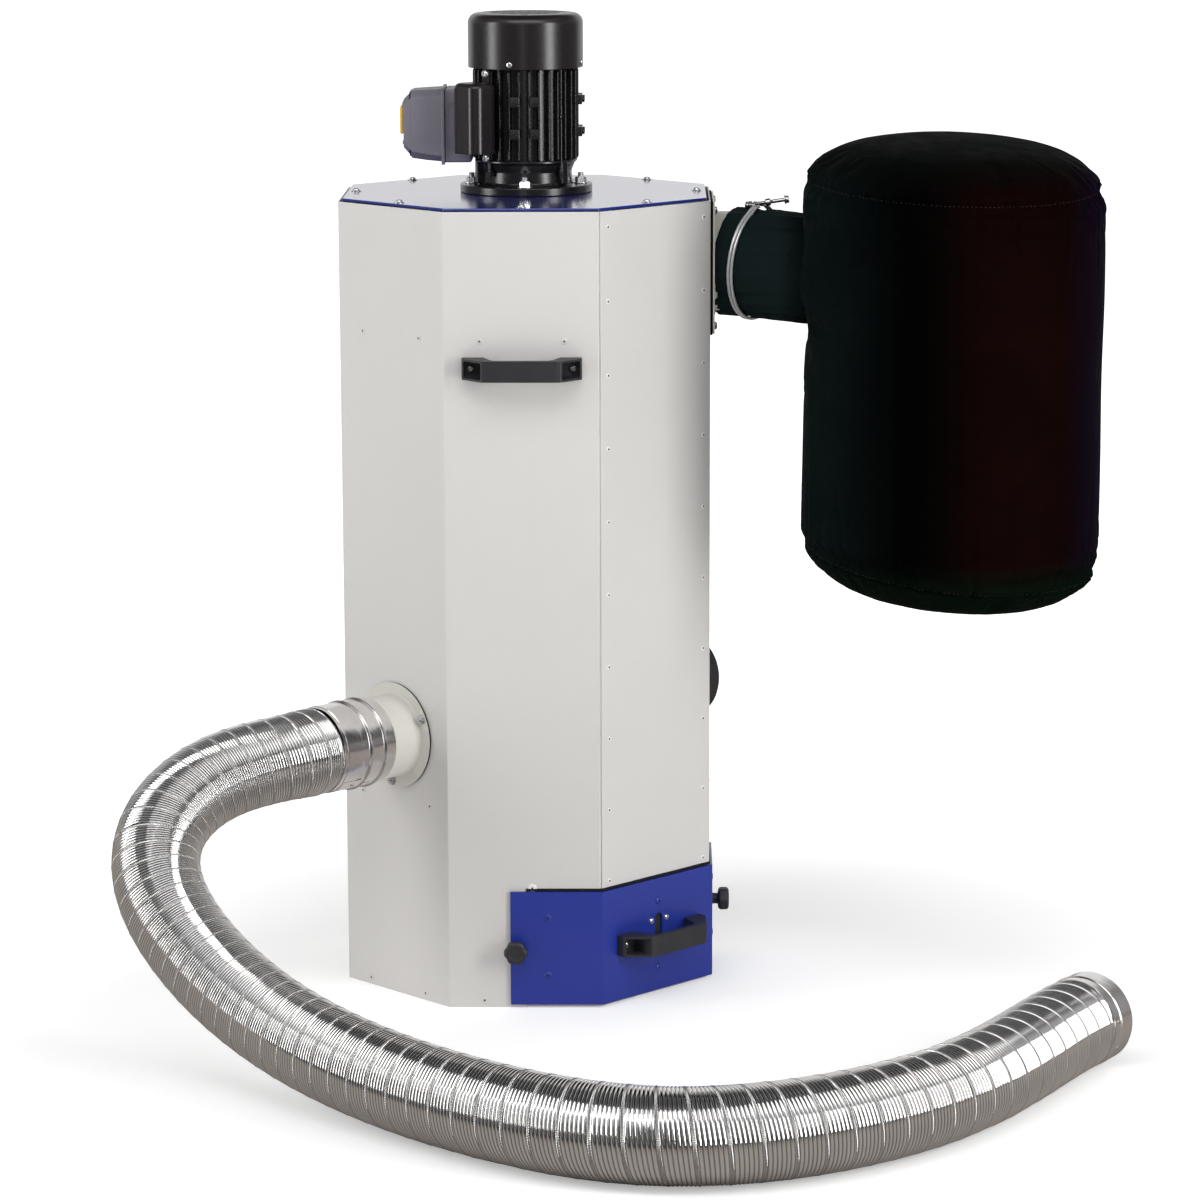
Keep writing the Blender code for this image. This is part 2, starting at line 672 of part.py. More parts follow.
def build_suction_ring():
    # (radius, height above the underside of the fan floor)
    profile = [(0.0975, 0.0340), (0.0990, 0.0340), (0.0975, 0.0100), (0.1080, 0.0046),
               (0.1160, 0.0043), (0.1160, 0.0024), (0.1060, 0.0024), (0.0955, 0.0090)]
    revolve("suction_ring", [(radius, FAN_FLOOR_Z + height) for radius, height in profile],
            28, GALVANISED)


def build_vortex_tube():
    """Tube under the fan floor, flanged at its top."""
    revolve("vortex_tube", [
        (0.0955, 0.5600), (0.0970, 0.5600), (0.0970, 0.9960), (0.1120, 0.9976),
        (0.1120, 0.9994), (0.0960, 0.9994), (0.0955, 0.9980)], 28, GALVANISED)


def build_impeller():
    """Back plate, hub and curved vanes."""
    plate_z = WHEEL_Z1 - 0.003
    wheel = revolve("impeller", [
        (0.0101, 1.1120), (0.0300, 1.1120), (0.0340, plate_z), (WHEEL_R, plate_z),
        (WHEEL_R, WHEEL_Z1), (0.0101, WHEEL_Z1)], 32, STEEL)
    for i in range(VANE_COUNT):
        root = 2 * math.pi * i / VANE_COUNT + 0.1
        points = [(radius * math.cos(root + turn), radius * math.sin(root + turn))
                  for radius, turn in VANE_POINTS]
        fuse(wheel, strip("vane", points, 0.0022, WHEEL_Z0, WHEEL_Z1 - 0.0015, STEEL))


def build_impeller_washer():
    """Washer with a bolt head below it, one piece."""
    revolve("impeller_washer", [
        (0, 1.1025), (0.0055, 1.1025), (0.0060, 1.1070), (0.0150, 1.1070),
        (0.0150, 1.1112), (0, 1.1112)], 18, ZINC)


# ---------------------------------------------------------------- motor
FLANGE_R = 0.1000
FLANGE_Z0, FLANGE_Z1 = PLATE_Z1 + GAP, 1.2150
FRAME_Z0, FRAME_Z1 = 1.2530, 1.3885   # finned frame
COWL_TOP = 1.4715
FRAME_R = 0.0800                    # fin tips
FIN_ROOT_R = 0.0738
FRAME_BORE = 0.0668
FIN_COUNT = 32
# one fin: (fraction of the fin pitch, radius)
FIN_POINTS = ((0.14, FIN_ROOT_R), (0.30, FRAME_R), (0.62, FRAME_R), (0.78, FIN_ROOT_R))
COWL_R = 0.0868
PADDLE_COUNT = 8
# one cooling paddle: (radius, angle from its middle in radians)
PADDLE_POINTS = ((0.0180, -0.30), (0.0180, -0.085), (0.0700, -0.022), (0.0700, 0.022),
                 (0.0180, 0.085))


def build_motor_shaft():
    """Stepped shaft from the impeller to the cooling fan."""
    revolve("motor_shaft", [
        (0, 1.1118), (0.0095, 1.1118), (0.0095, 1.2230), (0.0100, 1.2240),
        (0.0100, 1.2400), (0.0125, 1.2420), (0.0125, 1.3890), (0.0100, 1.3910),
        (0.0100, 1.4070), (0.0080, 1.4090), (0.0080, 1.4500), (0, 1.4500)], 16, STEEL)


def build_rotor_core():
    revolve("rotor_core", [
        (0.0129, 1.2700), (0.0385, 1.2700), (0.0392, 1.2720), (0.0392, 1.3680),
        (0.0385, 1.3700), (0.0129, 1.3700)], 24, STEEL)


def build_stator():
    revolve("stator", [
        (0.0400, 1.2740), (0.0440, 1.2600), (0.0580, 1.2600), (0.0610, 1.2740),
        (0.0662, 1.2760), (0.0662, 1.3640), (0.0610, 1.3660), (0.0580, 1.3800),
        (0.0440, 1.3800), (0.0400, 1.3660)], 24, WINDING)


def build_bearings():
    for name, bottom in (("bearing_lower", 1.2250), ("bearing_upper", 1.3920)):
        revolve(name, [
            (0.0103, bottom), (0.0225, bottom), (0.0235, bottom + 0.001),
            (0.0235, bottom + 0.013), (0.0225, bottom + 0.014), (0.0103, bottom + 0.014)],
            20, STEEL)


def build_motor_flange():
    """Drive-end shield with its mounting flange."""
    shield = revolve("motor_flange", [
        (0.0125, FLANGE_Z0), (0.0300, FLANGE_Z0), (FLANGE_R - 0.001, FLANGE_Z0),
        (FLANGE_R, FLANGE_Z0 + 0.001), (FLANGE_R, FLANGE_Z1 - 0.0015),
        (FLANGE_R - 0.0015, FLANGE_Z1), (0.0728, FLANGE_Z1), (0.0700, FLANGE_Z1 + 0.0040),
        (0.0690, FLANGE_Z1 + 0.0200), (0.0740, FRAME_Z0 - 0.006), (0.0775, FRAME_Z0 - GAP),
        (0.0600, FRAME_Z0 - GAP), (0.0560, FLANGE_Z1 + 0.010), (0.0300, FLANGE_Z1 + 0.008),
        (0.0300, 1.2400), (0.0239, 1.2400), (0.0239, 1.2246), (0.0125, 1.2246)],
        36, BLACK_CAST)
    for x, y in MOTOR_BOLTS:
        cut_hole(shield, BOLT_HOLE_R, FLANGE_Z0 - 0.01, FLANGE_Z1 + 0.02, x=x, y=y,
                 segments=14)


def build_motor_bolts():
    """Hexagon, shank below and a threaded end above it."""
    hexagon = [(x, y) for x, y, _ in circle(0.0088, 6)]
    shank_r = 0.0048
    shank = [(0, PLATE_Z0 - 0.010), (shank_r, PLATE_Z0 - 0.009),
             (shank_r, FLANGE_Z1 + 0.002), (0, FLANGE_Z1 + 0.003)]
    tip = [(0, FLANGE_Z1 + 0.006), (shank_r, FLANGE_Z1 + 0.0062),
           (shank_r, FLANGE_Z1 + 0.0110), (0.0040, FLANGE_Z1 + 0.0120),
           (0, FLANGE_Z1 + 0.0120)]
    for i, (x, y) in enumerate(MOTOR_BOLTS):
        place = Matrix.Translation((x, y, 0))
        bolt = prism("motor_bolt_%d" % (i + 1), hexagon, FLANGE_Z1 + GAP,
                     FLANGE_Z1 + 0.0068, ZINC, place)
        fuse(bolt, revolve("shank", shank, 14, ZINC, place))
        fuse(bolt, revolve("tip", tip, 14, ZINC, place))


def build_motor_frame():
    outer, inner = [], []
    for i in range(FIN_COUNT):
        for fraction, radius in FIN_POINTS:
            angle = 2 * math.pi * (i + fraction) / FIN_COUNT
            outer.append((radius * math.cos(angle), radius * math.sin(angle)))
            inner.append((FRAME_BORE * math.cos(angle), FRAME_BORE * math.sin(angle)))
    levels = ((outer, FRAME_Z0), (outer, FRAME_Z1), (inner, FRAME_Z1), (inner, FRAME_Z0))
    loft("motor_frame", [[(x, y, z) for x, y in outline] for outline, z in levels],
         BLACK_CAST, closed=True)


def build_motor_rear_shield():
    revolve("motor_rear_shield", [
        (0.0106, 1.4064), (0.0106, 1.4100), (0.0290, 1.4100), (0.0300, 1.4020),
        (0.0600, 1.4000), (0.0790, 1.4000), (0.0790, FRAME_Z1 + GAP),
        (0.0600, FRAME_Z1 + GAP), (0.0500, 1.3930), (0.0239, 1.3930), (0.0239, 1.4064)],
        24, BLACK_CAST)


def build_fan_cowl():
    inner_r = COWL_R - 0.0018
    bottom = FRAME_Z1 - 0.0020
    revolve("fan_cowl", [
        (inner_r, bottom), (COWL_R, bottom), (COWL_R, COWL_TOP - 0.008),
        (COWL_R - 0.0026, COWL_TOP - 0.0022), (COWL_R - 0.0080, COWL_TOP),
        (0.0100, COWL_TOP + 0.0015), (0.0100, COWL_TOP - 0.0005),
        (COWL_R - 0.0090, COWL_TOP - 0.0018), (COWL_R - 0.0045, COWL_TOP - 0.0040),
        (inner_r, COWL_TOP - 0.0085)], 36, BLACK_CAST)


def build_cooling_fan():
    """Hub with straight tapered paddles."""
    outline = []
    for i in range(PADDLE_COUNT):
        middle = 2 * math.pi * i / PADDLE_COUNT
        outline += [(radius * math.cos(middle + turn), radius * math.sin(middle + turn))
                    for radius, turn in PADDLE_POINTS]
    fan = prism("cooling_fan", outline, 1.4200, 1.4480, BLACK_PLASTIC)
    cut_hole(fan, 0.0084, 1.40, 1.46, segments=20)


# ---------------------------------------------------------------- switch, on the -X side
BUTTON_Z = 1.3130
BUTTON_HALF_Y, BUTTON_HALF_Z = 0.0109, 0.0103
BUTTON_PLAY = 0.0007                # clearance round a button
# (name, y, material)
BUTTONS = (("start_button", -0.0120, GREEN), ("stop_button", 0.0200, RED))


def cut_button_openings(solid, x_end):
    half_y = BUTTON_HALF_Y + BUTTON_PLAY
    half_z = BUTTON_HALF_Z + BUTTON_PLAY
    for _, y, _ in BUTTONS:
        cut_block(solid, (-0.20, y - half_y, BUTTON_Z - half_z),
                  (x_end, y + half_y, BUTTON_Z + half_z))


def build_switch():
    """Terminal box, with the switch box, bezel and buttons outside it."""
    box("terminal_box", (-0.1236, -0.0420, 1.2480), (-0.0805, 0.0500, 1.3590), BOX_GREY,
        bevel=0.0040)
    switch = box("switch_box", (-0.1728, -0.0400, 1.2550), (-0.1240, 0.0480, 1.3580),
                 BOX_GREY, bevel=0.0040)
    fuse(switch, box("raised_front", (-0.1830, -0.0370, 1.2710), (-0.1700, 0.0450, 1.3430),
                     BOX_GREY, bevel=0.0022))
    cut_button_openings(switch, -0.1690)
    bezel = box("switch_bezel", (-0.1890, -0.0300, 1.2915), (-0.1834, 0.0380, 1.3330),
                YELLOW, bevel=0.0018)
    cut_button_openings(bezel, -0.17)
    for name, y, surface in BUTTONS:
        button = box(name, (-0.1886, y - BUTTON_HALF_Y, BUTTON_Z - BUTTON_HALF_Z),
                     (-0.1756, y + BUTTON_HALF_Y, BUTTON_Z + BUTTON_HALF_Z), surface,
                     bevel=0.0012)
        set_origin(button, (-0.19, y, BUTTON_Z))


# ---------------------------------------------------------------- capacitor, front left
COVER_Z0, COVER_Z1 = 1.2660, 1.3710
COVER_HALF_DEPTH = 0.0245
CAPACITOR_CENTRE = direction(FRONT_LEFT) * (FRAME_R + 0.0012 + COVER_HALF_DEPTH)
# open-bottomed cup: (half width, half depth, corner radius, z), down the inside
# from its ceiling, then up the outside
COVER_RINGS = (
    (0.0215, 0.0180, 0.012, COVER_Z1 - 0.0028),
    (0.0255, 0.0220, 0.014, COVER_Z1 - 0.0080),
    (0.0255, 0.0220, 0.014, COVER_Z0),
    (0.0270, 0.0235, 0.015, COVER_Z0),
    (0.0280, COVER_HALF_DEPTH, 0.016, COVER_Z0 + 0.0015),
    (0.0280, COVER_HALF_DEPTH, 0.016, COVER_Z1 - 0.006),
    (0.0262, 0.0227, 0.015, COVER_Z1 - 0.0015),
    (0.0230, 0.0195, 0.013, COVER_Z1))


def rounded_ring(half_x, half_y, radius, z, steps=5):
    """Rectangle with rounded corners."""
    points = []
    for sign_x, sign_y, start in ((1, 1, 0), (-1, 1, 90), (-1, -1, 180), (1, -1, 270)):
        for i in range(steps + 1):
            angle = math.radians(start + 90 * i / steps)
            points.append((sign_x * (half_x - radius) + radius * math.cos(angle),
                           sign_y * (half_y - radius) + radius * math.sin(angle), z))
    return points


def build_capacitor():
    """Capacitor can under its rounded cover."""
    outward = direction(FRONT_LEFT)
    tangent = Vector((-outward.y, outward.x, 0))
    loft("capacitor_cover", [rounded_ring(*ring) for ring in COVER_RINGS], BLACK_CAST,
         frame=axes_frame(tangent, outward, UP, CAPACITOR_CENTRE))
    revolve("capacitor", [
        (0, 1.2680), (0.0195, 1.2680), (0.0200, 1.2700), (0.0200, 1.3590),
        (0.0190, 1.3610), (0, 1.3610)], 24, ALUMINIUM, Matrix.Translation(CAPACITOR_CENTRE))


# ---------------------------------------------------------------- hose
COUPLER_START, COUPLER_END = 0.0565, 0.1490   # coupler span off the inlet face
HOSE_R = 0.0648                     # hose outside radius
HOSE_WALL = 0.0012
COLLAR_LENGTH = 0.052
HOSE_PIVOT = (0.085, -1.068)        # the free end swings about the nearest hose point
SWING_GAP = 0.024                   # half gap between the two hose lengths
HOSE_STRAIGHT = 0.014               # straight end of a hose length
# spline points of the hose centre line: (x, y, z)
HOSE_POINTS = [
    (-0.3130, -0.3130, 0.4030), (-0.3342, -0.3342, 0.4030),
    (-0.3554, -0.3554, 0.4030), (-0.4857, -0.4098, 0.3823),
    (-0.5661, -0.5310, 0.2685), (-0.3505, -0.6954, 0.0680),
    (0.0424, -1.0866, 0.0672), (0.3205, -1.1293, 0.0672),
    (0.6522, -0.8991, 0.0672), (0.7636, -0.6131, 0.0672),
    (0.8280, -0.5461, 0.0672)]


def bspline(points, samples):
    """Clamped uniform cubic spline sampled at samples + 1 places (de Boor)."""
    controls = [Vector(p) for p in points]
    spans = len(controls) - 3
    knots = [0.0] * 3 + [i / spans for i in range(spans + 1)] + [1.0] * 3
    curve = []
    for i in range(samples + 1):
        place = min(i / samples, 1 - 1e-9)
        k = max(j for j in range(len(knots) - 1) if knots[j] <= place < knots[j + 1])
        blend = [controls[j + k - 3].copy() for j in range(4)]
        for level in range(1, 4):
            for j in range(3, level - 1, -1):
                low = knots[j + k - 3]
                high = knots[j + 1 + k - level]
                share = (place - low) / (high - low)
                blend[j] = blend[j - 1] * (1 - share) + blend[j] * share
        curve.append(blend[3])
    return curve


def running_lengths(points):
    lengths = [0.0]
    for start, end in zip(points[:-1], points[1:]):
        lengths.append(lengths[-1] + (end - start).length)
    return lengths


def even(points, step):
    """Points at an even spacing, close to step, along a polyline."""
    lengths = running_lengths(points)
    count = max(2, round(lengths[-1] / step))
    result = []
    j = 0
    for i in range(count + 1):
        target = lengths[-1] * i / count
        while j < len(points) - 2 and lengths[j + 1] < target:
            j += 1
        share = (target - lengths[j]) / max(1e-12, lengths[j + 1] - lengths[j])
        result.append(points[j].lerp(points[j + 1], min(1.0, share)))
    return result


def path_axes(points):
    """Tangents along a path and side vectors that do not twist about it."""
    last = len(points) - 1
    tangents = [(points[min(last, i + 1)] - points[max(0, i - 1)]).normalized()
                for i in range(last + 1)]
    sides = [(UP - tangents[0] * UP.dot(tangents[0])).normalized()]
    for before, tangent in zip(tangents[:-1], tangents[1:]):
        side = before.rotation_difference(tangent) @ sides[-1]
        sides.append((side - tangent * side.dot(tangent)).normalized())
    return tangents, sides


def pipe(name, points, outer_r, inner_r, segments):
    tangents, sides = path_axes(points)

    def ring(i, radius):
        third = tangents[i].cross(sides[i])
        return [points[i] + (sides[i] * math.cos(2 * math.pi * k / segments)
                             + third * math.sin(2 * math.pi * k / segments)) * radius
                for k in range(segments)]

    count = len(points)
    rings = [ring(i, outer_r) for i in range(count)]
    rings += [ring(i, inner_r) for i in range(count - 1, -1, -1)]
    return loft(name, rings, ALUMINIUM, closed=True)


def build_hose():
    """Two hose lengths with a gap at the pivot, and a collar on the free end."""
    centre = even(bspline(HOSE_POINTS, 400), 0.004)
    lengths = running_lengths(centre)
    indices = range(len(centre))
    pivot_target = Vector((*HOSE_PIVOT, 0)).xy
    pivot = min(indices, key=lambda i: (centre[i].xy - pivot_target).length)
    near_end = max(i for i in indices if lengths[i] <= lengths[pivot] - SWING_GAP)
    far_start = min(i for i in indices if lengths[i] >= lengths[pivot] + SWING_GAP)
    far_end = max(i for i in indices if lengths[i] <= lengths[-1] - COLLAR_LENGTH)
    end_point = centre[far_end]
    end_axis = (end_point - centre[far_end - 3]).normalized()

    # the near length starts straight, just past the coupler
    outward = direction(FRONT_LEFT)
    lead = outward * (APOTHEM + COUPLER_END + 0.0006) + Vector((0, 0, INLET_Z))
    near = even(centre[:near_end + 1], 0.052)
    pipe("hose_near", [lead, lead + outward * HOSE_STRAIGHT] + near[1:],
         HOSE_R, HOSE_R - HOSE_WALL, 18)

    far = even(centre[far_start:far_end + 1], 0.056)
    far_hose = pipe("hose_far", far[:-1] + [end_point - end_axis * HOSE_STRAIGHT, end_point],
                    HOSE_R, HOSE_R - HOSE_WALL, 18)
    collar = pipe("hose_end_collar",
                  [end_point + end_axis * along for along in (0.0008, 0.024, COLLAR_LENGTH)],
                  HOSE_R + 0.0006, HOSE_R - 0.0006, 28)
    for solid in (far_hose, collar):
        set_origin(solid, (centre[pivot].x, centre[pivot].y, 0))


def build_hose_coupler():
    """Sleeve with two raised beads."""
    bore = SLIP_FIT_R
    wall_r = bore + 0.0022
    bead_r = bore + 0.0050
    profile = [(bore, COUPLER_START), (wall_r, COUPLER_START)]
    for bead in (0.0180, 0.0455):
        start = COUPLER_START + bead
        profile += [(wall_r, start), (bead_r, start + 0.0025),
                    (bead_r, start + 0.0055), (wall_r, start + 0.0080)]
    profile += [(wall_r, COUPLER_END), (bore, COUPLER_END)]
    revolve("hose_coupler", profile, 32, ALUMINIUM, INLET_FRAME)


# ---------------------------------------------------------------- filter bag
BAG_X, BAG_Y = 0.634, -0.185        # centre of the bag drum
BAG_R = 0.2215
BAG_BOTTOM, LOWER_SEAM, UPPER_SEAM, BAG_TOP = 0.5925, 0.6600, 1.2230, 1.3020
BAG_WALL = 0.0022
SLEEVE_R = OUTLET_R + 0.0044        # outside of the sleeve over the outlet spigot
SLEEVE_WALL = 0.0020
NECK_LENGTH = math.hypot(BAG_X - NECK_START.x, BAG_Y - NECK_START.y)
NECK_AXIS = (Vector((BAG_X, BAG_Y, OUTLET_Z)) - NECK_START).normalized()
NECK_AXIS_DEGREES = math.degrees(math.atan2(NECK_AXIS.y, NECK_AXIS.x))


def bag_profile(inset):
    """Half outline of the stuffed drum, offset inwards."""
    radius = BAG_R - inset
    lower = []
    upper = []
    for i in range(1, 6):
        angle = math.radians(18 * i)
        bulge_r = radius * math.sin(angle) ** 0.9
        rise = math.cos(angle) ** 1.15
        lower.append((bulge_r, LOWER_SEAM - (LOWER_SEAM - BAG_BOTTOM - inset) * rise))
        upper.append((bulge_r, UPPER_SEAM + (BAG_TOP - UPPER_SEAM - inset) * rise))
    return ([(0, BAG_BOTTOM + inset)] + lower
            + [(radius, LOWER_SEAM + 0.10), (radius, UPPER_SEAM - 0.10)]
            + upper[::-1] + [(0, BAG_TOP - inset)])


def neck_rings(inset, start_shift, end):
    """Sleeve rings from a slanted outlet end to inside the drum."""
    radius = SLEEVE_R - inset
    count = 28
    low, high = 0.0002 + start_shift, -0.0280 + start_shift
    slanted = []
    for i, point in enumerate(upright_ring(radius, count, NECK_START, NECK_AXIS_DEGREES)):
        share = (1 + math.cos(2 * math.pi * i / count)) / 2
        slanted.append(point + NECK_AXIS * (low + (high - low) * share))
    # (distance along the neck, radius growth)
    stations = ((0.0120, 0.0), (0.0300, 0.0), (0.0600, 0.0015), (end, 0.003))
    return [slanted] + [upright_ring(radius + growth, count, NECK_START + NECK_AXIS * along,
                                     NECK_AXIS_DEGREES) for along, growth in stations]


def build_filter_bag():
    """Drum and neck as one hollow skin, open at the outlet end of the neck."""
    place = Matrix.Translation((BAG_X, BAG_Y, 0))
    drum_wall = NECK_LENGTH - BAG_R
    bag = revolve("filter_bag", bag_profile(0.0), 32, FABRIC, place)
    fuse(bag, loft("neck", neck_rings(0.0, 0.0, drum_wall + 0.060), FABRIC))
    core = revolve("core", bag_profile(BAG_WALL), 32, FABRIC, place)
    fuse(core, loft("neck_core", neck_rings(SLEEVE_WALL, -0.012, drum_wall + 0.062), FABRIC))
    subtract(bag, core)


# ---------------------------------------------------------------- neck clamp
BAND_R = SLEEVE_R + 0.0013          # inside of the band
BAND_FRAME = upright_frame(NECK_AXIS, NECK_START + NECK_AXIS * 0.0210)


def clamp_screw_frame():
    """Screw axis through the lug, mostly along +X, slightly to the front and up."""
    origin = BAND_FRAME @ Vector((-0.004, BAND_R + 0.0068, 0.0))
    axis = Vector((math.cos(math.radians(6)), -0.10, math.sin(math.radians(9)))).normalized()
    x_axis = axis.cross(UP).normalized()
    return axes_frame(x_axis, axis.cross(x_axis), axis, origin)


def build_neck_clamp():
    """Band round the neck with a lug on top, and its long screw."""
    band = revolve("clamp_band", [
        (BAND_R, -0.0052), (BAND_R + 0.0026, -0.0046), (BAND_R + 0.0030, -0.0026),
        (BAND_R + 0.0016, 0.0), (BAND_R + 0.0030, 0.0026), (BAND_R + 0.0026, 0.0046),
        (BAND_R, 0.0052)], 36, ZINC, BAND_FRAME)
    fuse(band, box("lug", (-0.010, BAND_R + 0.0010, -0.0090),
                   (0.002, BAND_R + 0.0125, 0.0085), ZINC, BAND_FRAME, bevel=0.002))
    frame = clamp_screw_frame()
    cut_hole(band, 0.0036, -0.03, 0.03, frame, segments=16)
    screw = revolve("clamp_screw", [
        (0, -0.0140), (0.0030, -0.0140), (0.0030, 0.0480), (0.0058, 0.0482),
        (0.0058, 0.0530), (0.0040, 0.0540), (0, 0.0540)], 16, ZINC, frame)
    set_origin(screw, frame.translation)


# ---------------------------------------------------------------- build
for build in (
        build_shells, build_panels, build_base, build_fan_floor, build_top_plate,
        build_funnel, build_bin_gasket, build_bin_front, build_bin_tub, build_handles,
        build_knobs, build_inlets, build_outlet_gasket, build_outlet_flange,
        build_fan_scroll, build_suction_ring, build_vortex_tube, build_impeller,
        build_impeller_washer, build_motor_shaft, build_rotor_core, build_stator,
        build_bearings, build_motor_flange, build_motor_bolts, build_motor_frame,
        build_motor_rear_shield, build_fan_cowl, build_cooling_fan, build_switch,
        build_capacitor, build_hose, build_hose_coupler, build_filter_bag,
        build_neck_clamp):
    build()
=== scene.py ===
"""Looks of an octagonal chip and dust collector.

Metres, z up.  The cabinet stands on z = 0 round the z axis, with its front towards -y and
its right side towards +x.  The chip bin takes the front right corner, the motor stands on
the lid, the filter bag hangs to the right and the suction hose leaves the front left face
and lies on the floor in front.  CAD nodes that stay in view only get new materials.
"""
import bpy
import bmesh
import math
import numpy as np
from contextlib import contextmanager
from mathutils import Matrix, Vector
from mathutils.bvhtree import BVHTree

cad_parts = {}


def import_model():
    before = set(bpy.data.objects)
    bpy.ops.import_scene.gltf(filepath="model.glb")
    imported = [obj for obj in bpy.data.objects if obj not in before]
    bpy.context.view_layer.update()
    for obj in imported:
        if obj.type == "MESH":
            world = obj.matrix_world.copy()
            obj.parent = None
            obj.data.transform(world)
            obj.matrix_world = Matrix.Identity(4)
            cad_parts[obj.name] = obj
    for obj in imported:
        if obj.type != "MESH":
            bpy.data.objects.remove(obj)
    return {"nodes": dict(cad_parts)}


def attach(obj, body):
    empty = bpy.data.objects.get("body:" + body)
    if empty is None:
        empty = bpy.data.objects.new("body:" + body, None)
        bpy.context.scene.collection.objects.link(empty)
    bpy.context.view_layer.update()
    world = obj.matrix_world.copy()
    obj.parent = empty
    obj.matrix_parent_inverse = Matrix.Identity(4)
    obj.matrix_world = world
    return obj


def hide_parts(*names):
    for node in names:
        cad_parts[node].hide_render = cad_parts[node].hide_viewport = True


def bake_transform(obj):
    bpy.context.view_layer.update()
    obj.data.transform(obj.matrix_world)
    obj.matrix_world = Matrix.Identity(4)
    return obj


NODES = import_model()["nodes"]
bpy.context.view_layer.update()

# ---------------------------------------------------------------- dimensions
# outward directions of the eight faces, in degrees from +x
FACES = range(-90, 226, 45)
FRONT, FRONT_RIGHT, RIGHT, REAR_RIGHT, REAR, REAR_LEFT, LEFT, FRONT_LEFT = FACES

FACE_W = 0.230
APOTHEM = FACE_W / 2 * (1 + math.sqrt(2))
CABINET_H = 1.198
SHEET = 0.0020
LAP = SHEET + 0.0004            # step of a lip behind its neighbour
LIP = 0.028
LID_Z0 = CABINET_H + 0.0004
LID_Z1 = LID_Z0 + 0.0042
LID_APOTHEM = APOTHEM - 0.006

BIN_Z0, BIN_Z1 = 0.0055, 0.1800
BIN_OPEN_Z = 0.1842
BIN_CUT = 0.0010                # opening edge from the middle of the side faces
BIN_FLAP = 0.0225
BIN_PROUD = 0.0050
KNOB_Z, KNOB_X = 0.0915, 0.0140
HANDLE_Z = 0.9700
HANDLE_SCREW_X = 0.075

INLET_Z = 0.4030
INLET_R = 0.0625
INLET_FLANGE_R = 0.0800
SLIP_R = INLET_R + 0.0007       # bore of parts pushed over an inlet
COUPLER_Z0, COUPLER_Z1 = 0.0565, 0.1490

OUTLET_Z = 1.0945
OUTLET_HALF = 0.0995
OUTLET_R = 0.0770
SLEEVE_R = OUTLET_R + 0.0044    # bag sleeve over the outlet
NECK_DEG = -30.0

FLANGE_Z0, FLANGE_Z1 = 1.2030, 1.2150
FINS_Z0, FINS_Z1 = 1.2530, 1.3885
COWL_TOP = 1.4715
FRAME_R = 0.0800
COWL_R = 0.0868
MOTOR_BOLT_CIRCLE = 0.165

BAG_X, BAG_Y = 0.634, -0.185
BAG_R = 0.2215
BAG_Z0, BAG_SIDE_Z0, BAG_SIDE_Z1, BAG_Z1 = 0.5925, 0.6600, 1.2230, 1.3020

# control points of the hose's centre line
HOSE_POINTS = [
    (-0.3130, -0.3130, 0.4030), (-0.3342, -0.3342, 0.4030), (-0.3554, -0.3554, 0.4030),
    (-0.4857, -0.4098, 0.3823), (-0.5661, -0.5310, 0.2685), (-0.3505, -0.6954, 0.0680),
    (0.0424, -1.0866, 0.0672), (0.3205, -1.1293, 0.0672), (0.6522, -0.8991, 0.0672),
    (0.7636, -0.6131, 0.0672), (0.8280, -0.5461, 0.0672)]
HOSE_PIVOT = (0.085, -1.068)

# ---------------------------------------------------------------- materials


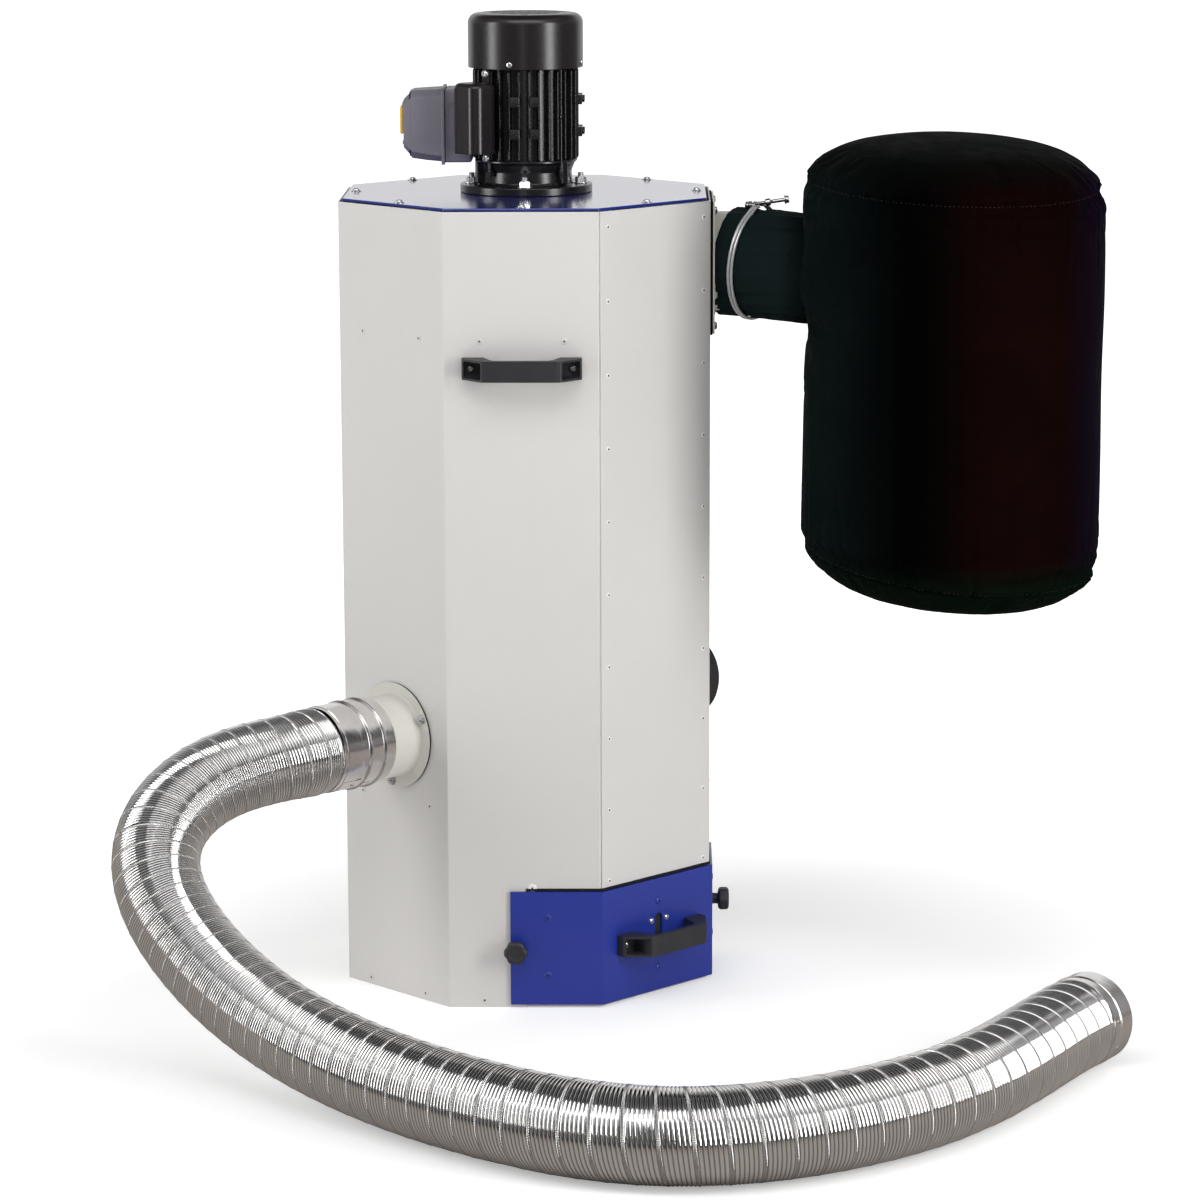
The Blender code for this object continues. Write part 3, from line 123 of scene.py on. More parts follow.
class Nodes:
    """Node tree of a material or world, with short calls for adding nodes."""

    def __init__(self, owner):
        owner.use_nodes = True
        self.tree = owner.node_tree
        self.principled = self.tree.nodes.get("Principled BSDF")
        self.output = self.tree.nodes.get("Material Output")
        self.coordinates = None

    def feed(self, socket, value):
        """Link a socket into an input, or set the input's value."""
        if isinstance(value, bpy.types.NodeSocket):
            self.tree.links.new(value, socket)
            return
        if socket.type == "RGBA" and len(value) == 3:
            value = (*value, 1)
        socket.default_value = value

    def add(self, kind, *values, **settings):
        """New node: settings go to named inputs or properties, values to inputs in order."""
        node = self.tree.nodes.new(kind)
        for key, value in settings.items():
            if key in node.inputs:
                self.feed(node.inputs[key], value)
            else:
                setattr(node, key, value)
        for socket, value in zip(node.inputs, values):
            self.feed(socket, value)
        return node

    def shade(self, inputs):
        for key, value in inputs.items():
            self.feed(self.principled.inputs[key], value)

    def coords(self):
        if self.coordinates is None:
            self.coordinates = self.add("ShaderNodeTexCoord").outputs["Object"]
        return self.coordinates

    def noise(self, scale, detail=2.0, rough=0.5):
        return self.add("ShaderNodeTexNoise", Vector=self.coords(), Scale=scale, Detail=detail,
                        Roughness=rough).outputs["Fac"]

    def ramp(self, value, low, high, to_low=0.0, to_high=1.0):
        return self.add("ShaderNodeMapRange", **{
            "Value": value, "From Min": low, "From Max": high, "To Min": to_low,
            "To Max": to_high}).outputs["Result"]

    def math(self, operation, *values):
        return self.add("ShaderNodeMath", *values, operation=operation).outputs[0]

    def mix(self, factor, first, second):
        node = self.add("ShaderNodeMix", data_type="RGBA")
        for i, value in ((0, factor), (6, first), (7, second)):
            self.feed(node.inputs[i], value)
        return node.outputs[2]

    def bump(self, height, strength, depth, normal=None):
        node = self.add("ShaderNodeBump", Strength=strength, Distance=depth, Height=height)
        if normal is not None:
            self.feed(node.inputs["Normal"], normal)
        return node.outputs["Normal"]

    def attribute(self, name):
        return self.add("ShaderNodeAttribute", attribute_name=name).outputs["Fac"]

    def edges(self):
        """1 on edges, 0 on flats."""
        rounded = self.add("ShaderNodeBevel", samples=4, Radius=0.0012).outputs["Normal"]
        flat = self.add("ShaderNodeNewGeometry").outputs["Normal"]
        dot = self.add("ShaderNodeVectorMath", rounded, flat, operation="DOT_PRODUCT")
        return self.ramp(dot.outputs["Value"], 0.995, 0.90)


def tint(rgb, factor):
    return tuple(min(1.0, x * factor) for x in rgb)


def surface(name, rgb, rough=0.4, metal=0.0, grain=(900, 0.00012, 0.35),
            blotch=(9, 0.05, 0.08), coat=None, specular=0.5, wear=None, dust=0.0):
    """Painted, moulded or metal surface.

    grain: scale, depth and strength of the fine bump.
    blotch: scale, colour swing and roughness swing of the soft patches.
    coat: weight and roughness.  wear: amount and colour of rubbed edges.
    """
    material = bpy.data.materials.new(name)
    tree = Nodes(material)
    grain_scale, grain_depth, grain_strength = grain
    scale, colour_swing, rough_swing = blotch
    wide = tree.noise(scale, 3.0, 0.55)
    middle = tree.noise(scale * 11, 3.0, 0.6)
    patches = tree.math("ADD", tree.math("MULTIPLY", wide, 0.65),
                        tree.math("MULTIPLY", middle, 0.35))
    colour = tree.mix(tree.ramp(patches, 0.35, 0.65), tint(rgb, 1 - colour_swing),
                      tint(rgb, 1 + colour_swing))
    if dust:
        film = tree.ramp(tree.noise(scale * 3, 4.0, 0.6), 0.5, 0.75, 0.0, dust)
        colour = tree.mix(film, colour, (0.55, 0.52, 0.47))
    if wear:
        amount, wear_rgb = wear
        rubbed = tree.math("MULTIPLY", tree.edges(),
                           tree.ramp(middle, 0.42, 0.62, 0.0, amount))
        colour = tree.mix(rubbed, colour, wear_rgb)
    tree.shade({
        "Metallic": metal, "Specular IOR Level": specular, "Base Color": colour,
        "Roughness": tree.ramp(middle, 0.3, 0.7, max(0.02, rough - rough_swing),
                               rough + rough_swing),
        "Normal": tree.bump(tree.noise(grain_scale), grain_strength, grain_depth)})
    if coat:
        tree.shade({"Coat Weight": coat[0], "Coat Roughness": coat[1]})
    material.diffuse_color = (*rgb, 1)
    return material


GREY = surface("look_cabinet_grey", (0.655, 0.640, 0.622), rough=0.42,
               grain=(1500, 0.00010, 0.22), blotch=(4, 0.012, 0.05),
               wear=(0.25, (0.75, 0.74, 0.72)))
BLUE = surface("look_panel_blue", (0.015, 0.034, 0.300), rough=0.34,
               grain=(1500, 0.00006, 0.15), blotch=(5, 0.015, 0.02), coat=(0.30, 0.20))
LID_BLUE = surface("look_top_blue", (0.020, 0.036, 0.270), rough=0.22,
                   grain=(1200, 0.00006, 0.12), blotch=(6, 0.03, 0.02), coat=(1.0, 0.12),
                   specular=0.9)
GLOSS_BLACK = surface("look_motor_black", (0.0120, 0.0085, 0.0105), rough=0.30,
                      grain=(500, 0.00006, 0.06), blotch=(14, 0.15, 0.03), coat=(0.22, 0.22))
CAST_BLACK = surface("look_cast_black", (0.0085, 0.0070, 0.0080), rough=0.26,
                     grain=(380, 0.00003, 0.02), blotch=(20, 0.15, 0.03), coat=(0.22, 0.20))
PLASTIC = surface("look_black_plastic", (0.026, 0.026, 0.030), rough=0.48,
                  grain=(1600, 0.00018, 0.45), blotch=(20, 0.12, 0.07),
                  wear=(0.3, (0.07, 0.07, 0.075)))
BOX_GREY = surface("look_box_grey", (0.185, 0.176, 0.210), rough=0.40,
                   grain=(1500, 0.00015, 0.35), blotch=(15, 0.06, 0.06),
                   wear=(0.3, (0.16, 0.155, 0.18)))
YELLOW, GREEN, RED = [
    surface(name, rgb, rough=rough, grain=(1500, 0.0001, 0.3), blotch=(20, 0.05, 0.08))
    for name, rgb, rough in (("look_yellow_plastic", (0.80, 0.52, 0.10), 0.40),
                             ("look_green_plastic", (0.02, 0.30, 0.06), 0.34),
                             ("look_red_plastic", (0.52, 0.02, 0.02), 0.34))]
ZINC = surface("look_zinc", (0.66, 0.66, 0.67), rough=0.26, metal=1.0,
               grain=(900, 0.0001, 0.4), blotch=(60, 0.12, 0.10))
STEEL = surface("look_steel", (0.46, 0.46, 0.47), rough=0.34, metal=1.0,
                grain=(500, 0.0002, 0.4), blotch=(30, 0.15, 0.10), dust=0.15)
GALVANISED = surface("look_galvanised", (0.60, 0.60, 0.60), rough=0.36, metal=0.95,
                     grain=(120, 0.0001, 0.3), blotch=(40, 0.16, 0.12))
CREAM = surface("look_flange_cream", (0.665, 0.650, 0.600), rough=0.36,
                grain=(1300, 0.0001, 0.25), blotch=(10, 0.02, 0.05), coat=(0.2, 0.08),
                wear=(0.3, (0.78, 0.77, 0.74)))
FOAM = surface("look_foam", (0.014, 0.014, 0.015), rough=0.9, grain=(700, 0.0006, 0.8),
               blotch=(40, 0.3, 0.05), specular=0.2)
COPPER = surface("look_winding", (0.42, 0.15, 0.06), rough=0.35, metal=0.8,
                 grain=(500, 0.0004, 0.7), blotch=(60, 0.25, 0.08))
# painted shade, for rivet pits, the bin slot and the switch neck
PAINTED_SHADE = surface("look_dark_recess", (0.02, 0.02, 0.021), rough=0.55, blotch=(30, 0.2, 0.08))
WASHER_WHITE = surface("look_washer_white", (0.82, 0.81, 0.79), rough=0.35,
                       blotch=(60, 0.03, 0.08))
BRIGHT_BOLT = surface("look_bright_bolt", (0.86, 0.86, 0.88), rough=0.22, metal=0.9,
                      blotch=(60, 0.05, 0.08))
CLAMP_BRIGHT = surface("look_clamp_bright", (0.86, 0.86, 0.87), rough=0.34, metal=0.55,
                       grain=(900, 0.0001, 0.25), blotch=(60, 0.05, 0.05))
THREAD = surface("look_thread", (0.035, 0.016, 0.014), rough=0.7, grain=(2500, 0.0002, 0.6),
                 blotch=(60, 0.3, 0.08))


def aluminium_material():
    """Bright sheet with fine grit and small dents."""
    rgb, rough = (0.86, 0.83, 0.82), 0.19
    material = bpy.data.materials.new("look_aluminium_plain")
    tree = Nodes(material)
    wide = tree.noise(22, 3.0, 0.6)
    grit = tree.noise(900)
    dented = tree.bump(tree.noise(95), strength=0.22, depth=0.0007)
    tree.shade({
        "Metallic": 1.0,
        "Base Color": tree.mix(tree.ramp(wide, 0.3, 0.7), tint(rgb, 0.90), tint(rgb, 1.04)),
        "Roughness": tree.ramp(grit, 0.3, 0.7, rough - 0.015, rough + 0.02),
        "Normal": tree.bump(grit, strength=0.04, depth=0.0001, normal=dented)})
    material.diffuse_color = (*rgb, 1)
    return material


def foil_material():
    """Hose foil: grooves darkened with painted shade, and crimp marks along the lock seam from
    the turn angle.
    """
    material = bpy.data.materials.new("look_hose_foil")
    tree = Nodes(material)
    crimp = tree.attribute("crimp")
    turn = tree.attribute("turn")
    grit = tree.noise(1100)
    foil = tree.mix(tree.ramp(tree.noise(18, 3.0, 0.6), 0.3, 0.7), (0.84, 0.835, 0.83),
                    (0.91, 0.905, 0.90))
    # painted shade: the foil colour darkens towards the bottom of each groove
    painted_groove_shade = tree.mix(tree.ramp(tree.attribute("groove"), 0.40, 0.95, 0.0, 0.85), foil,
                     (0.20, 0.19, 0.185))
    # one crimp every 2.2 mm round a 65 mm radius
    wave = tree.math("SINE", tree.math("MULTIPLY", turn, 2 * math.pi * 0.0650 / 0.0022))
    marks = tree.math("MULTIPLY",
                      tree.math("ADD", tree.math("MULTIPLY", wave, 0.5), 0.5), crimp)
    dented = tree.bump(tree.noise(120), strength=0.12, depth=0.0005)
    crimped = tree.bump(marks, strength=0.9, depth=0.0005, normal=dented)
    tree.shade({
        "Metallic": 1.0,
        "Base Color": tree.mix(tree.ramp(crimp, 0.30, 0.90, 0.0, 0.50), painted_groove_shade,
                               (0.30, 0.29, 0.285)),
        "Roughness": tree.ramp(grit, 0.3, 0.7, 0.06, 0.13),
        "Normal": tree.bump(grit, strength=0.10, depth=0.0001, normal=crimped)})
    material.diffuse_color = (0.85, 0.85, 0.85, 1)
    return material


def fabric_material():
    """Near-black cloth with a fine weave; painted light and shade change its tone across the bag
    from left to right and above and below the seams.
    """
    material = bpy.data.materials.new("look_bag_fabric")
    tree = Nodes(material)
    place = tree.add("ShaderNodeSeparateXYZ", tree.coords()).outputs
    right = tree.math("SUBTRACT", place[0], BAG_X)
    back = tree.math("SUBTRACT", place[1], BAG_Y)
    # two crossed waves, one round the drum and one up it
    warp = tree.math("SINE",
                     tree.math("MULTIPLY", tree.math("ARCTAN2", back, right), 1150.0))
    weft = tree.math("SINE", tree.math("MULTIPLY", place[2], 2 * math.pi / 0.0012))
    weave = tree.math("MULTIPLY", warp, weft)
    fuzz = tree.noise(1200, 2.0, 0.6)
    drift = tree.ramp(tree.noise(5.0, 3.0, 0.6), 0.35, 0.65)
    crease = tree.noise(26.0, 3.0, 0.65)
    colour = tree.mix(drift, (0.0022, 0.0046, 0.0046), (0.0034, 0.0064, 0.0062))
    # painted shade tone for the middle of the bag
    middle = tree.mix(drift, (0.0036, 0.0008, 0.0007), (0.0052, 0.0012, 0.0010))
    # input, start and end of each blend, and the tone it leads to; the blends paint light and
    # shade: a painted shade band left of the middle, a dark red middle, a blue right edge, other
    # tones above the top seam and towards the bottom, and a painted highlight on the sleeve
    for value, start, end, tone in (
            (right, -0.185, -0.090, (0.0005, 0.0005, 0.0005)),
            (right, -0.060, 0.030, middle),
            (right, 0.150, 0.215, (0.0034, 0.0017, 0.0068)),
            (place[2], BAG_SIDE_Z1 + 0.010, BAG_SIDE_Z1 + 0.060, (0.0026, 0.0036, 0.0030)),
            (place[2], 0.700, 0.650, (0.0016, 0.0048, 0.0026)),
            (right, -0.215, -0.255, (0.0115, 0.0205, 0.0215))):
        colour = tree.mix(tree.ramp(value, start, end), colour, tone)
    creased = tree.bump(crease, strength=0.35, depth=0.0022)
    threads = tree.math("ADD", tree.math("MULTIPLY", weave, 0.5), fuzz)
    tree.shade({
        "Base Color": colour, "Roughness": tree.ramp(crease, 0.3, 0.7, 0.56, 0.74),
        "Specular IOR Level": 0.008, "Sheen Weight": 0.002, "Sheen Roughness": 0.5,
        "Sheen Tint": (0.55, 0.75, 0.70, 1),
        "Normal": tree.bump(threads, strength=0.35, depth=0.0002, normal=creased)})
    material.diffuse_color = (0.01, 0.012, 0.012, 1)
    return material


ALUMINIUM = aluminium_material()
FOIL = foil_material()
FABRIC = fabric_material()

# ---------------------------------------------------------------- mesh helpers
COLLECTION = bpy.context.scene.collection
X_AXIS, Y_AXIS, Z_AXIS = Vector((1, 0, 0)), Vector((0, 1, 0)), Vector((0, 0, 1))
ORIGIN = Vector((0, 0, 0))
TO_SIDE = Matrix.Rotation(math.radians(90), 4, "Y")     # turns local z onto local x


def link(name, data):
    ob = bpy.data.objects.new(name, data)
    COLLECTION.objects.link(ob)
    return ob


@contextmanager
def edit(ob):
    """The object's mesh as a bmesh, written back on leaving."""
    bm = bmesh.new()
    bm.from_mesh(ob.data)
    yield bm
    bm.to_mesh(ob.data)
    bm.free()


def raw_object(name, verts, faces, materials, slots=None):
    """Mesh object exactly as given; slots holds a material number per face."""
    mesh = bpy.data.meshes.new(name)
    mesh.from_pydata([tuple(v) for v in verts], [], [tuple(f) for f in faces])
    for material in materials:
        mesh.materials.append(material)
    if slots is not None:
        mesh.polygons.foreach_set("material_index", np.array(slots, np.int32))
    mesh.update()
    return link(name, mesh)


def keep_sharp(ob):
    modifier = ob.modifiers.new("wn", "WEIGHTED_NORMAL")
    modifier.keep_sharp = True
    return modifier


def tidy(ob, sharp=35, weighted=True):
    with edit(ob) as bm:
        bmesh.ops.remove_doubles(bm, verts=bm.verts, dist=1e-6)
        bmesh.ops.recalc_face_normals(bm, faces=bm.faces)
    ob.data.shade_smooth()
    ob.data.set_sharp_from_angle(angle=math.radians(sharp))
    if weighted and not any(m.type == "WEIGHTED_NORMAL" for m in ob.modifiers):
        keep_sharp(ob).weight = 60


def solid(name, verts, faces, material, sharp=35, weighted=True):
    ob = raw_object(name, verts, faces, [material])
    tidy(ob, sharp, weighted)
    return ob


def grid_faces(rows, columns, wrap_rows=False, wrap_columns=True):
    """Quads of a grid of points stored row by row."""
    row, column = np.meshgrid(np.arange(rows if wrap_rows else rows - 1),
                              np.arange(columns if wrap_columns else columns - 1),
                              indexing="ij")
    row2, column2 = (row + 1) % rows, (column + 1) % columns
    corners = [row * columns + column, row * columns + column2,
               row2 * columns + column2, row2 * columns + column]
    return np.stack(corners, -1).reshape(-1, 4).tolist()


def circle(radius, sides, x=0.0):
    return [(x + radius * math.cos(2 * math.pi * i / sides),
             radius * math.sin(2 * math.pi * i / sides)) for i in range(sides)]


def polar(radius, degrees):
    angle = math.radians(degrees)
    return (radius * math.cos(angle), radius * math.sin(angle))


def fillet(outline, radii, steps=5, closed=True):
    """Round the corners of a flat outline; radii is one radius or one per corner."""
    rounded = []
    count = len(outline)
    for i in range(count):
        corner = np.array(outline[i], float)
        radius = radii[i] if hasattr(radii, "__len__") else radii
        if (not closed and i in (0, count - 1)) or radius <= 0:
            rounded.append(tuple(corner))
            continue
        before = np.array(outline[i - 1], float) - corner
        after = np.array(outline[(i + 1) % count], float) - corner
        length_before, length_after = np.linalg.norm(before), np.linalg.norm(after)
        if length_before < 1e-9 or length_after < 1e-9:
            rounded.append(tuple(corner))
            continue
        before, after = before / length_before, after / length_after
        angle = math.acos(float(np.clip(before @ after, -1, 1)))
        if angle > math.pi - 0.03 or angle < 0.03:
            rounded.append(tuple(corner))
            continue
        setback = radius / math.tan(angle / 2)
        limit = 0.48 * min(length_before, length_after)
        if setback > limit:
            setback = limit
            radius = setback * math.tan(angle / 2)
        middle = (before + after) / np.linalg.norm(before + after)
        centre = corner + middle * (radius / math.sin(angle / 2))
        start, end = corner + before * setback, corner + after * setback
        angle0 = math.atan2(*(start - centre)[::-1])
        angle1 = math.atan2(*(end - centre)[::-1])
        sweep = (angle1 - angle0 + math.pi) % (2 * math.pi) - math.pi
        for k in range(steps + 1):
            turn = angle0 + sweep * k / steps
            rounded.append((centre[0] + radius * math.cos(turn),
                            centre[1] + radius * math.sin(turn)))
    return rounded


def spin(profile, frame, sides, warp=None):
    """Profile turned about local z: vertices, and the vertex numbers of each ring."""
    verts, rings = [], []
    for radius, z in profile:
        if radius < 1e-9:
            rings.append([len(verts)])
            verts.append(frame @ Vector((0, 0, z)))
            continue
        rings.append(list(range(len(verts), len(verts) + sides)))
        for i in range(sides):
            angle = 2 * math.pi * i / sides
            reach = warp(radius, z, angle) if warp else radius
            verts.append(frame @ Vector((reach * math.cos(angle), reach * math.sin(angle), z)))
    return verts, rings


def ring_faces(lower, upper, sides):
    """Faces between two rings; a ring of one vertex is a pole."""
    faces = []
    for i in range(sides):
        j = (i + 1) % sides
        if len(lower) == 1:
            faces.append((lower[0], upper[i], upper[j]))
        elif len(upper) == 1:
            faces.append((lower[i], lower[j], upper[0]))
        else:
            faces.append((lower[i], lower[j], upper[j], upper[i]))
    return faces


def revolve(name, profile, material, frame=Matrix(), sides=96, radii=0.0, steps=4, sharp=35,
            warp=None):
    """Turn a (radius, z) profile about local z; it is closed unless both ends are on the axis."""
    on_axis = profile[0][0] < 1e-9 and profile[-1][0] < 1e-9
    if radii:
        profile = fillet(profile, radii, steps, closed=not on_axis)
    verts, rings = spin(profile, frame, sides, warp)
    faces = []
    for i in range(len(rings) - 1 if on_axis else len(rings)):
        faces += ring_faces(rings[i], rings[(i + 1) % len(rings)], sides)
    return solid(name, verts, faces, material, sharp)


def rod(name, radius, z0, z1, material, frame=Matrix(), **options):
    return revolve(name, [(0, z0), (radius, z0), (radius, z1), (0, z1)], material, frame,
                   **options)


def prism(name, outline, z0, z1, material, frame=Matrix(), sharp=35):
    count = len(outline)
    verts = [frame @ Vector((x, y, z)) for z in (z0, z1) for x, y in outline]
    faces = [range(count)[::-1], range(count, 2 * count)]
    faces += [(i, (i + 1) % count, count + (i + 1) % count, count + i) for i in range(count)]
    return solid(name, verts, faces, material, sharp)


def box(name, low, high, material, frame=Matrix(), bevel=0.0, steps=3):
    x0, y0, z0 = low
    x1, y1, z1 = high
    ob = prism(name, [(x0, y0), (x1, y0), (x1, y1), (x0, y1)], z0, z1, material, frame)
    if bevel:
        soften(ob, bevel, steps)
    return ob


def soften(ob, width, steps=3, angle=30):
    """Bevel every edge sharper than the angle."""
    with edit(ob) as bm:
        edges = [e for e in bm.edges if len(e.link_faces) == 2
                 and e.calc_face_angle() > math.radians(angle)]
        bmesh.ops.bevel(bm, geom=edges, offset=width, segments=steps, affect="EDGES",
                        profile=0.5, clamp_overlap=True)
    tidy(ob)


def bake(ob):
    """Replace the mesh by its evaluated form and drop the modifiers."""
    depsgraph = bpy.context.evaluated_depsgraph_get()
    depsgraph.update()
    mesh = bpy.data.meshes.new_from_object(ob.evaluated_get(depsgraph))
    ob.modifiers.clear()
    old = ob.data
    ob.data = mesh
    mesh.name = ob.name
    bpy.data.meshes.remove(old)


def carve(ob, cutter, operation="DIFFERENCE"):
    """Boolean that uses up the cutter and keeps the object's own materials."""
    ob.modifiers.clear()
    cutter.modifiers.clear()
    boolean = ob.modifiers.new("cut", "BOOLEAN")
    boolean.operation = operation
    boolean.solver = "EXACT"
    boolean.object = cutter
    material_count = len(ob.data.materials)
    bake(ob)
    mesh = ob.data
    slots = np.zeros(len(mesh.polygons), np.int32)
    mesh.polygons.foreach_get("material_index", slots)
    slots[slots >= material_count] = 0
    mesh.polygons.foreach_set("material_index", slots)
    while len(mesh.materials) > material_count:
        mesh.materials.pop(index=len(mesh.materials) - 1)
    bpy.data.objects.remove(cutter, do_unlink=True)
    with edit(ob) as bm:
        bmesh.ops.remove_doubles(bm, verts=bm.verts, dist=5e-6)
        bmesh.ops.dissolve_degenerate(bm, edges=bm.edges, dist=5e-6)
    tidy(ob)
    return ob


def hole(ob, radius, z0, z1, frame=Matrix(), sides=48, x=0.0):
    carve(ob, prism("cut", circle(radius, sides, x), z0, z1, ob.data.materials[0], frame))


def notch(ob, low, high, frame=Matrix()):
    carve(ob, box("cut", low, high, ob.data.materials[0], frame))


def join(name, obs):
    """Several meshes into one object, keeping every material."""
    verts, faces, slots, materials = [], [], [], []
    for ob in obs:
        base = len(verts)
        slot_map = []
        for material in ob.data.materials:
            if material not in materials:
                materials.append(material)
            slot_map.append(materials.index(material))
        verts += [tuple(v.co) for v in ob.data.vertices]
        for polygon in ob.data.polygons:
            faces.append([base + v for v in polygon.vertices])
            slots.append(slot_map[polygon.material_index])
    for ob in obs:
        bpy.data.objects.remove(ob, do_unlink=True)
    joined = raw_object(name, verts, faces, materials, slots)
    joined.data.shade_smooth()
    joined.data.set_sharp_from_angle(angle=math.radians(35))
    keep_sharp(joined)
    return joined


def loft(name, rings, material, closed=False, caps=False, sharp=35):
    """Skin over rings with equal point counts."""
    count = len(rings[0])
    faces = grid_faces(len(rings), count, closed)
    if caps:
        faces.append(range(count)[::-1])
        faces.append(range((len(rings) - 1) * count, len(rings) * count))
    return solid(name, [v for ring in rings for v in ring], faces, material, sharp)


def tube(name, points, radius, material, sides=12, closed=False, ripple=None):
    """Round rod along a polyline; ripple(i, angle) may give its radius instead."""
    points = [Vector(p) for p in points]
    count = len(points)
    tangents = []
    for i in range(count):
        if closed:
            start, end = points[i - 1], points[(i + 1) % count]
        else:
            start, end = points[max(0, i - 1)], points[min(count - 1, i + 1)]
        tangents.append((end - start).normalized())
    reference = Z_AXIS if abs(tangents[0].z) < 0.9 else X_AXIS
    normal = (reference - tangents[0] * reference.dot(tangents[0])).normalized()
    verts = []
    for i, tangent in enumerate(tangents):
        if i:
            normal = tangents[i - 1].rotation_difference(tangent) @ normal
            normal = (normal - tangent * normal.dot(tangent)).normalized()
        side = tangent.cross(normal)
        for k in range(sides):
            angle = 2 * math.pi * k / sides
            reach = ripple(i, angle) if ripple else radius
            verts.append(points[i]
                         + (normal * math.cos(angle) + side * math.sin(angle)) * reach)
    faces = grid_faces(count, sides, closed)
    if not closed:
        faces.append(range(sides)[::-1])
        faces.append(range((count - 1) * sides, count * sides))
    return solid(name, verts, faces, material, weighted=False)


def axes(x_axis, y_axis, z_axis, origin=ORIGIN):
    """Frame with the given axes as columns."""
    frame = Matrix((x_axis, y_axis, z_axis)).transposed().to_4x4()
    frame.translation = origin
    return frame


def axis_frame(origin, direction):
    """Local z along the direction, local y as near to up as it can be."""
    direction = Vector(direction).normalized()
    x_axis = Z_AXIS.cross(direction).normalized()
    return axes(x_axis, direction.cross(x_axis), direction, origin)


def face_frame(face, dist=APOTHEM, z=0.0, x=0.0):
    """Frame on an octagon face: local x along the face, y up, z outwards."""
    angle = math.radians(face)
    outward = Vector((math.cos(angle), math.sin(angle), 0))
    along = Vector((-outward.y, outward.x, 0))
    return axes(along, Z_AXIS, outward, outward * dist + along * x + Vector((0, 0, z)))


def crossing(face1, dist1, face2, dist2):
    """Where two lines parallel to octagon faces meet, in plan."""
    angle1, angle2 = math.radians(face1), math.radians(face2)
    x1, y1 = math.cos(angle1), math.sin(angle1)
    x2, y2 = math.cos(angle2), math.sin(angle2)
    det = x1 * y2 - y1 * x2
    return ((dist1 * y2 - dist2 * y1) / det, (x1 * dist2 - x2 * dist1) / det)


def on_face(face, dist, x):
    angle = math.radians(face)
    return (dist * math.cos(angle) - x * math.sin(angle),
            dist * math.sin(angle) + x * math.cos(angle))


def shift(x=0.0, y=0.0, z=0.0):
    return Matrix.Translation((x, y, z))


def smooth_step(x, start, end):
    t = np.clip((x - start) / (end - start), 0, 1)
    return t * t * (3 - 2 * t)


def put(ob, body, slot, *nodes):
    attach(ob, body)
    if nodes:
        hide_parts(*nodes)

# ---------------------------------------------------------------- small hardware


def rivet(frame, radius=0.0048, height=0.0013, material=GREY):
    """Rivet head: low dome with a pit painted dark as shade."""
    sides = 20
    profile = [(radius, -0.0002), (radius, 0.0002)]
    for k in range(1, 5):
        x, z = polar(1.0, 18 * k)
        profile.append((0.0017 + (radius - 0.0017) * x, 0.0002 + (height - 0.0002) * z))
    profile += [(0.0016, height), (0.0013, height - 0.0002), (0.0012, height - 0.0009),
                (0.0, height - 0.0008)]
    verts, rings = spin(profile, frame, sides)
    faces, slots = [rings[0][::-1]], [0]
    for i in range(len(rings) - 1):
        faces += ring_faces(rings[i], rings[i + 1], sides)
        # the pit's faces get the painted shade
        slots += [int(i >= len(rings) - 4)] * sides
    return raw_object("rivet", verts, faces, [material, PAINTED_SHADE], slots)


def rivet_on_tube(frame, tube_radius, angle, z, radius, height):
    return rivet(frame @ Matrix.Rotation(angle, 4, "Z") @ shift(tube_radius, 0, z) @ TO_SIDE,
                 radius, height, ZINC)


def pan_screw(frame, radius, height, material=ZINC, turn=0.3, name="screw"):
    """Pan-head screw with a cross recess."""
    ob = revolve(name, [(0, 0.0), (radius, 0.0), (radius, height * 0.35),
                        (radius * 0.86, height * 0.78), (radius * 0.55, height * 0.97),
                        (0, height)], material, frame, sides=28, radii=0.0006, steps=3)
    half = radius * 0.15
    reach = radius * 0.62
    cross = [(-half, -reach), (half, -reach), (half, -half), (reach, -half), (reach, half),
             (half, half), (half, reach), (-half, reach), (-half, half), (-reach, half),
             (-reach, -half), (-half, -half)]
    return carve(ob, prism("cut", cross, height * 0.45, height * 1.4, material,
                           frame @ Matrix.Rotation(turn, 4, "Z")))


def hex_bolt(name, frame, radius, height, washer, turn, stud, stud_radius, material=ZINC):
    """Chamfered hexagon on a washer, with a threaded stud end of the given length."""
    base = 0.0012
    top = base + height
    disc = rod("washer", washer, 0, base, material, frame, sides=32, radii=0.0003, steps=2)
    head = prism("head", circle(radius, 6), base, top, material,
                 frame @ Matrix.Rotation(turn, 4, "Z"))
    chamfer = revolve("cut", [(0, base - 0.001), (radius * 1.02, base - 0.001),
                              (radius * 1.02, base + height * 0.72), (radius * 0.84, top),
                              (0, top)], material, frame, sides=48)
    carve(head, chamfer, "INTERSECT")
    soften(head, 0.0002, 2, 20)
    profile = [(0, top - 0.001)]
    for k in range(11):
        profile.append((stud_radius * (1.0 if k % 2 else 0.88), top - 0.0005 + stud / 10 * k))
    profile.append((0, profile[-1][1] + 0.0002))
    thread = revolve("stud", profile, material, frame, sides=24)
    return join(name, [disc, head, thread])


def bent_patch(radius, frame, angle0, angle1, z0, z1, thickness, steps=14):
    """Thin aluminium plate wrapped on a cylinder between two angles."""
    angles = [angle0 + (angle1 - angle0) * i / steps for i in range(steps + 1)]
    arc = [(radius, a) for a in angles] + [(radius + thickness, a) for a in angles[::-1]]
    return prism("patch", [(r * math.cos(a), r * math.sin(a)) for r, a in arc], z0, z1,
                 ALUMINIUM, frame)

# ---------------------------------------------------------------- cabinet


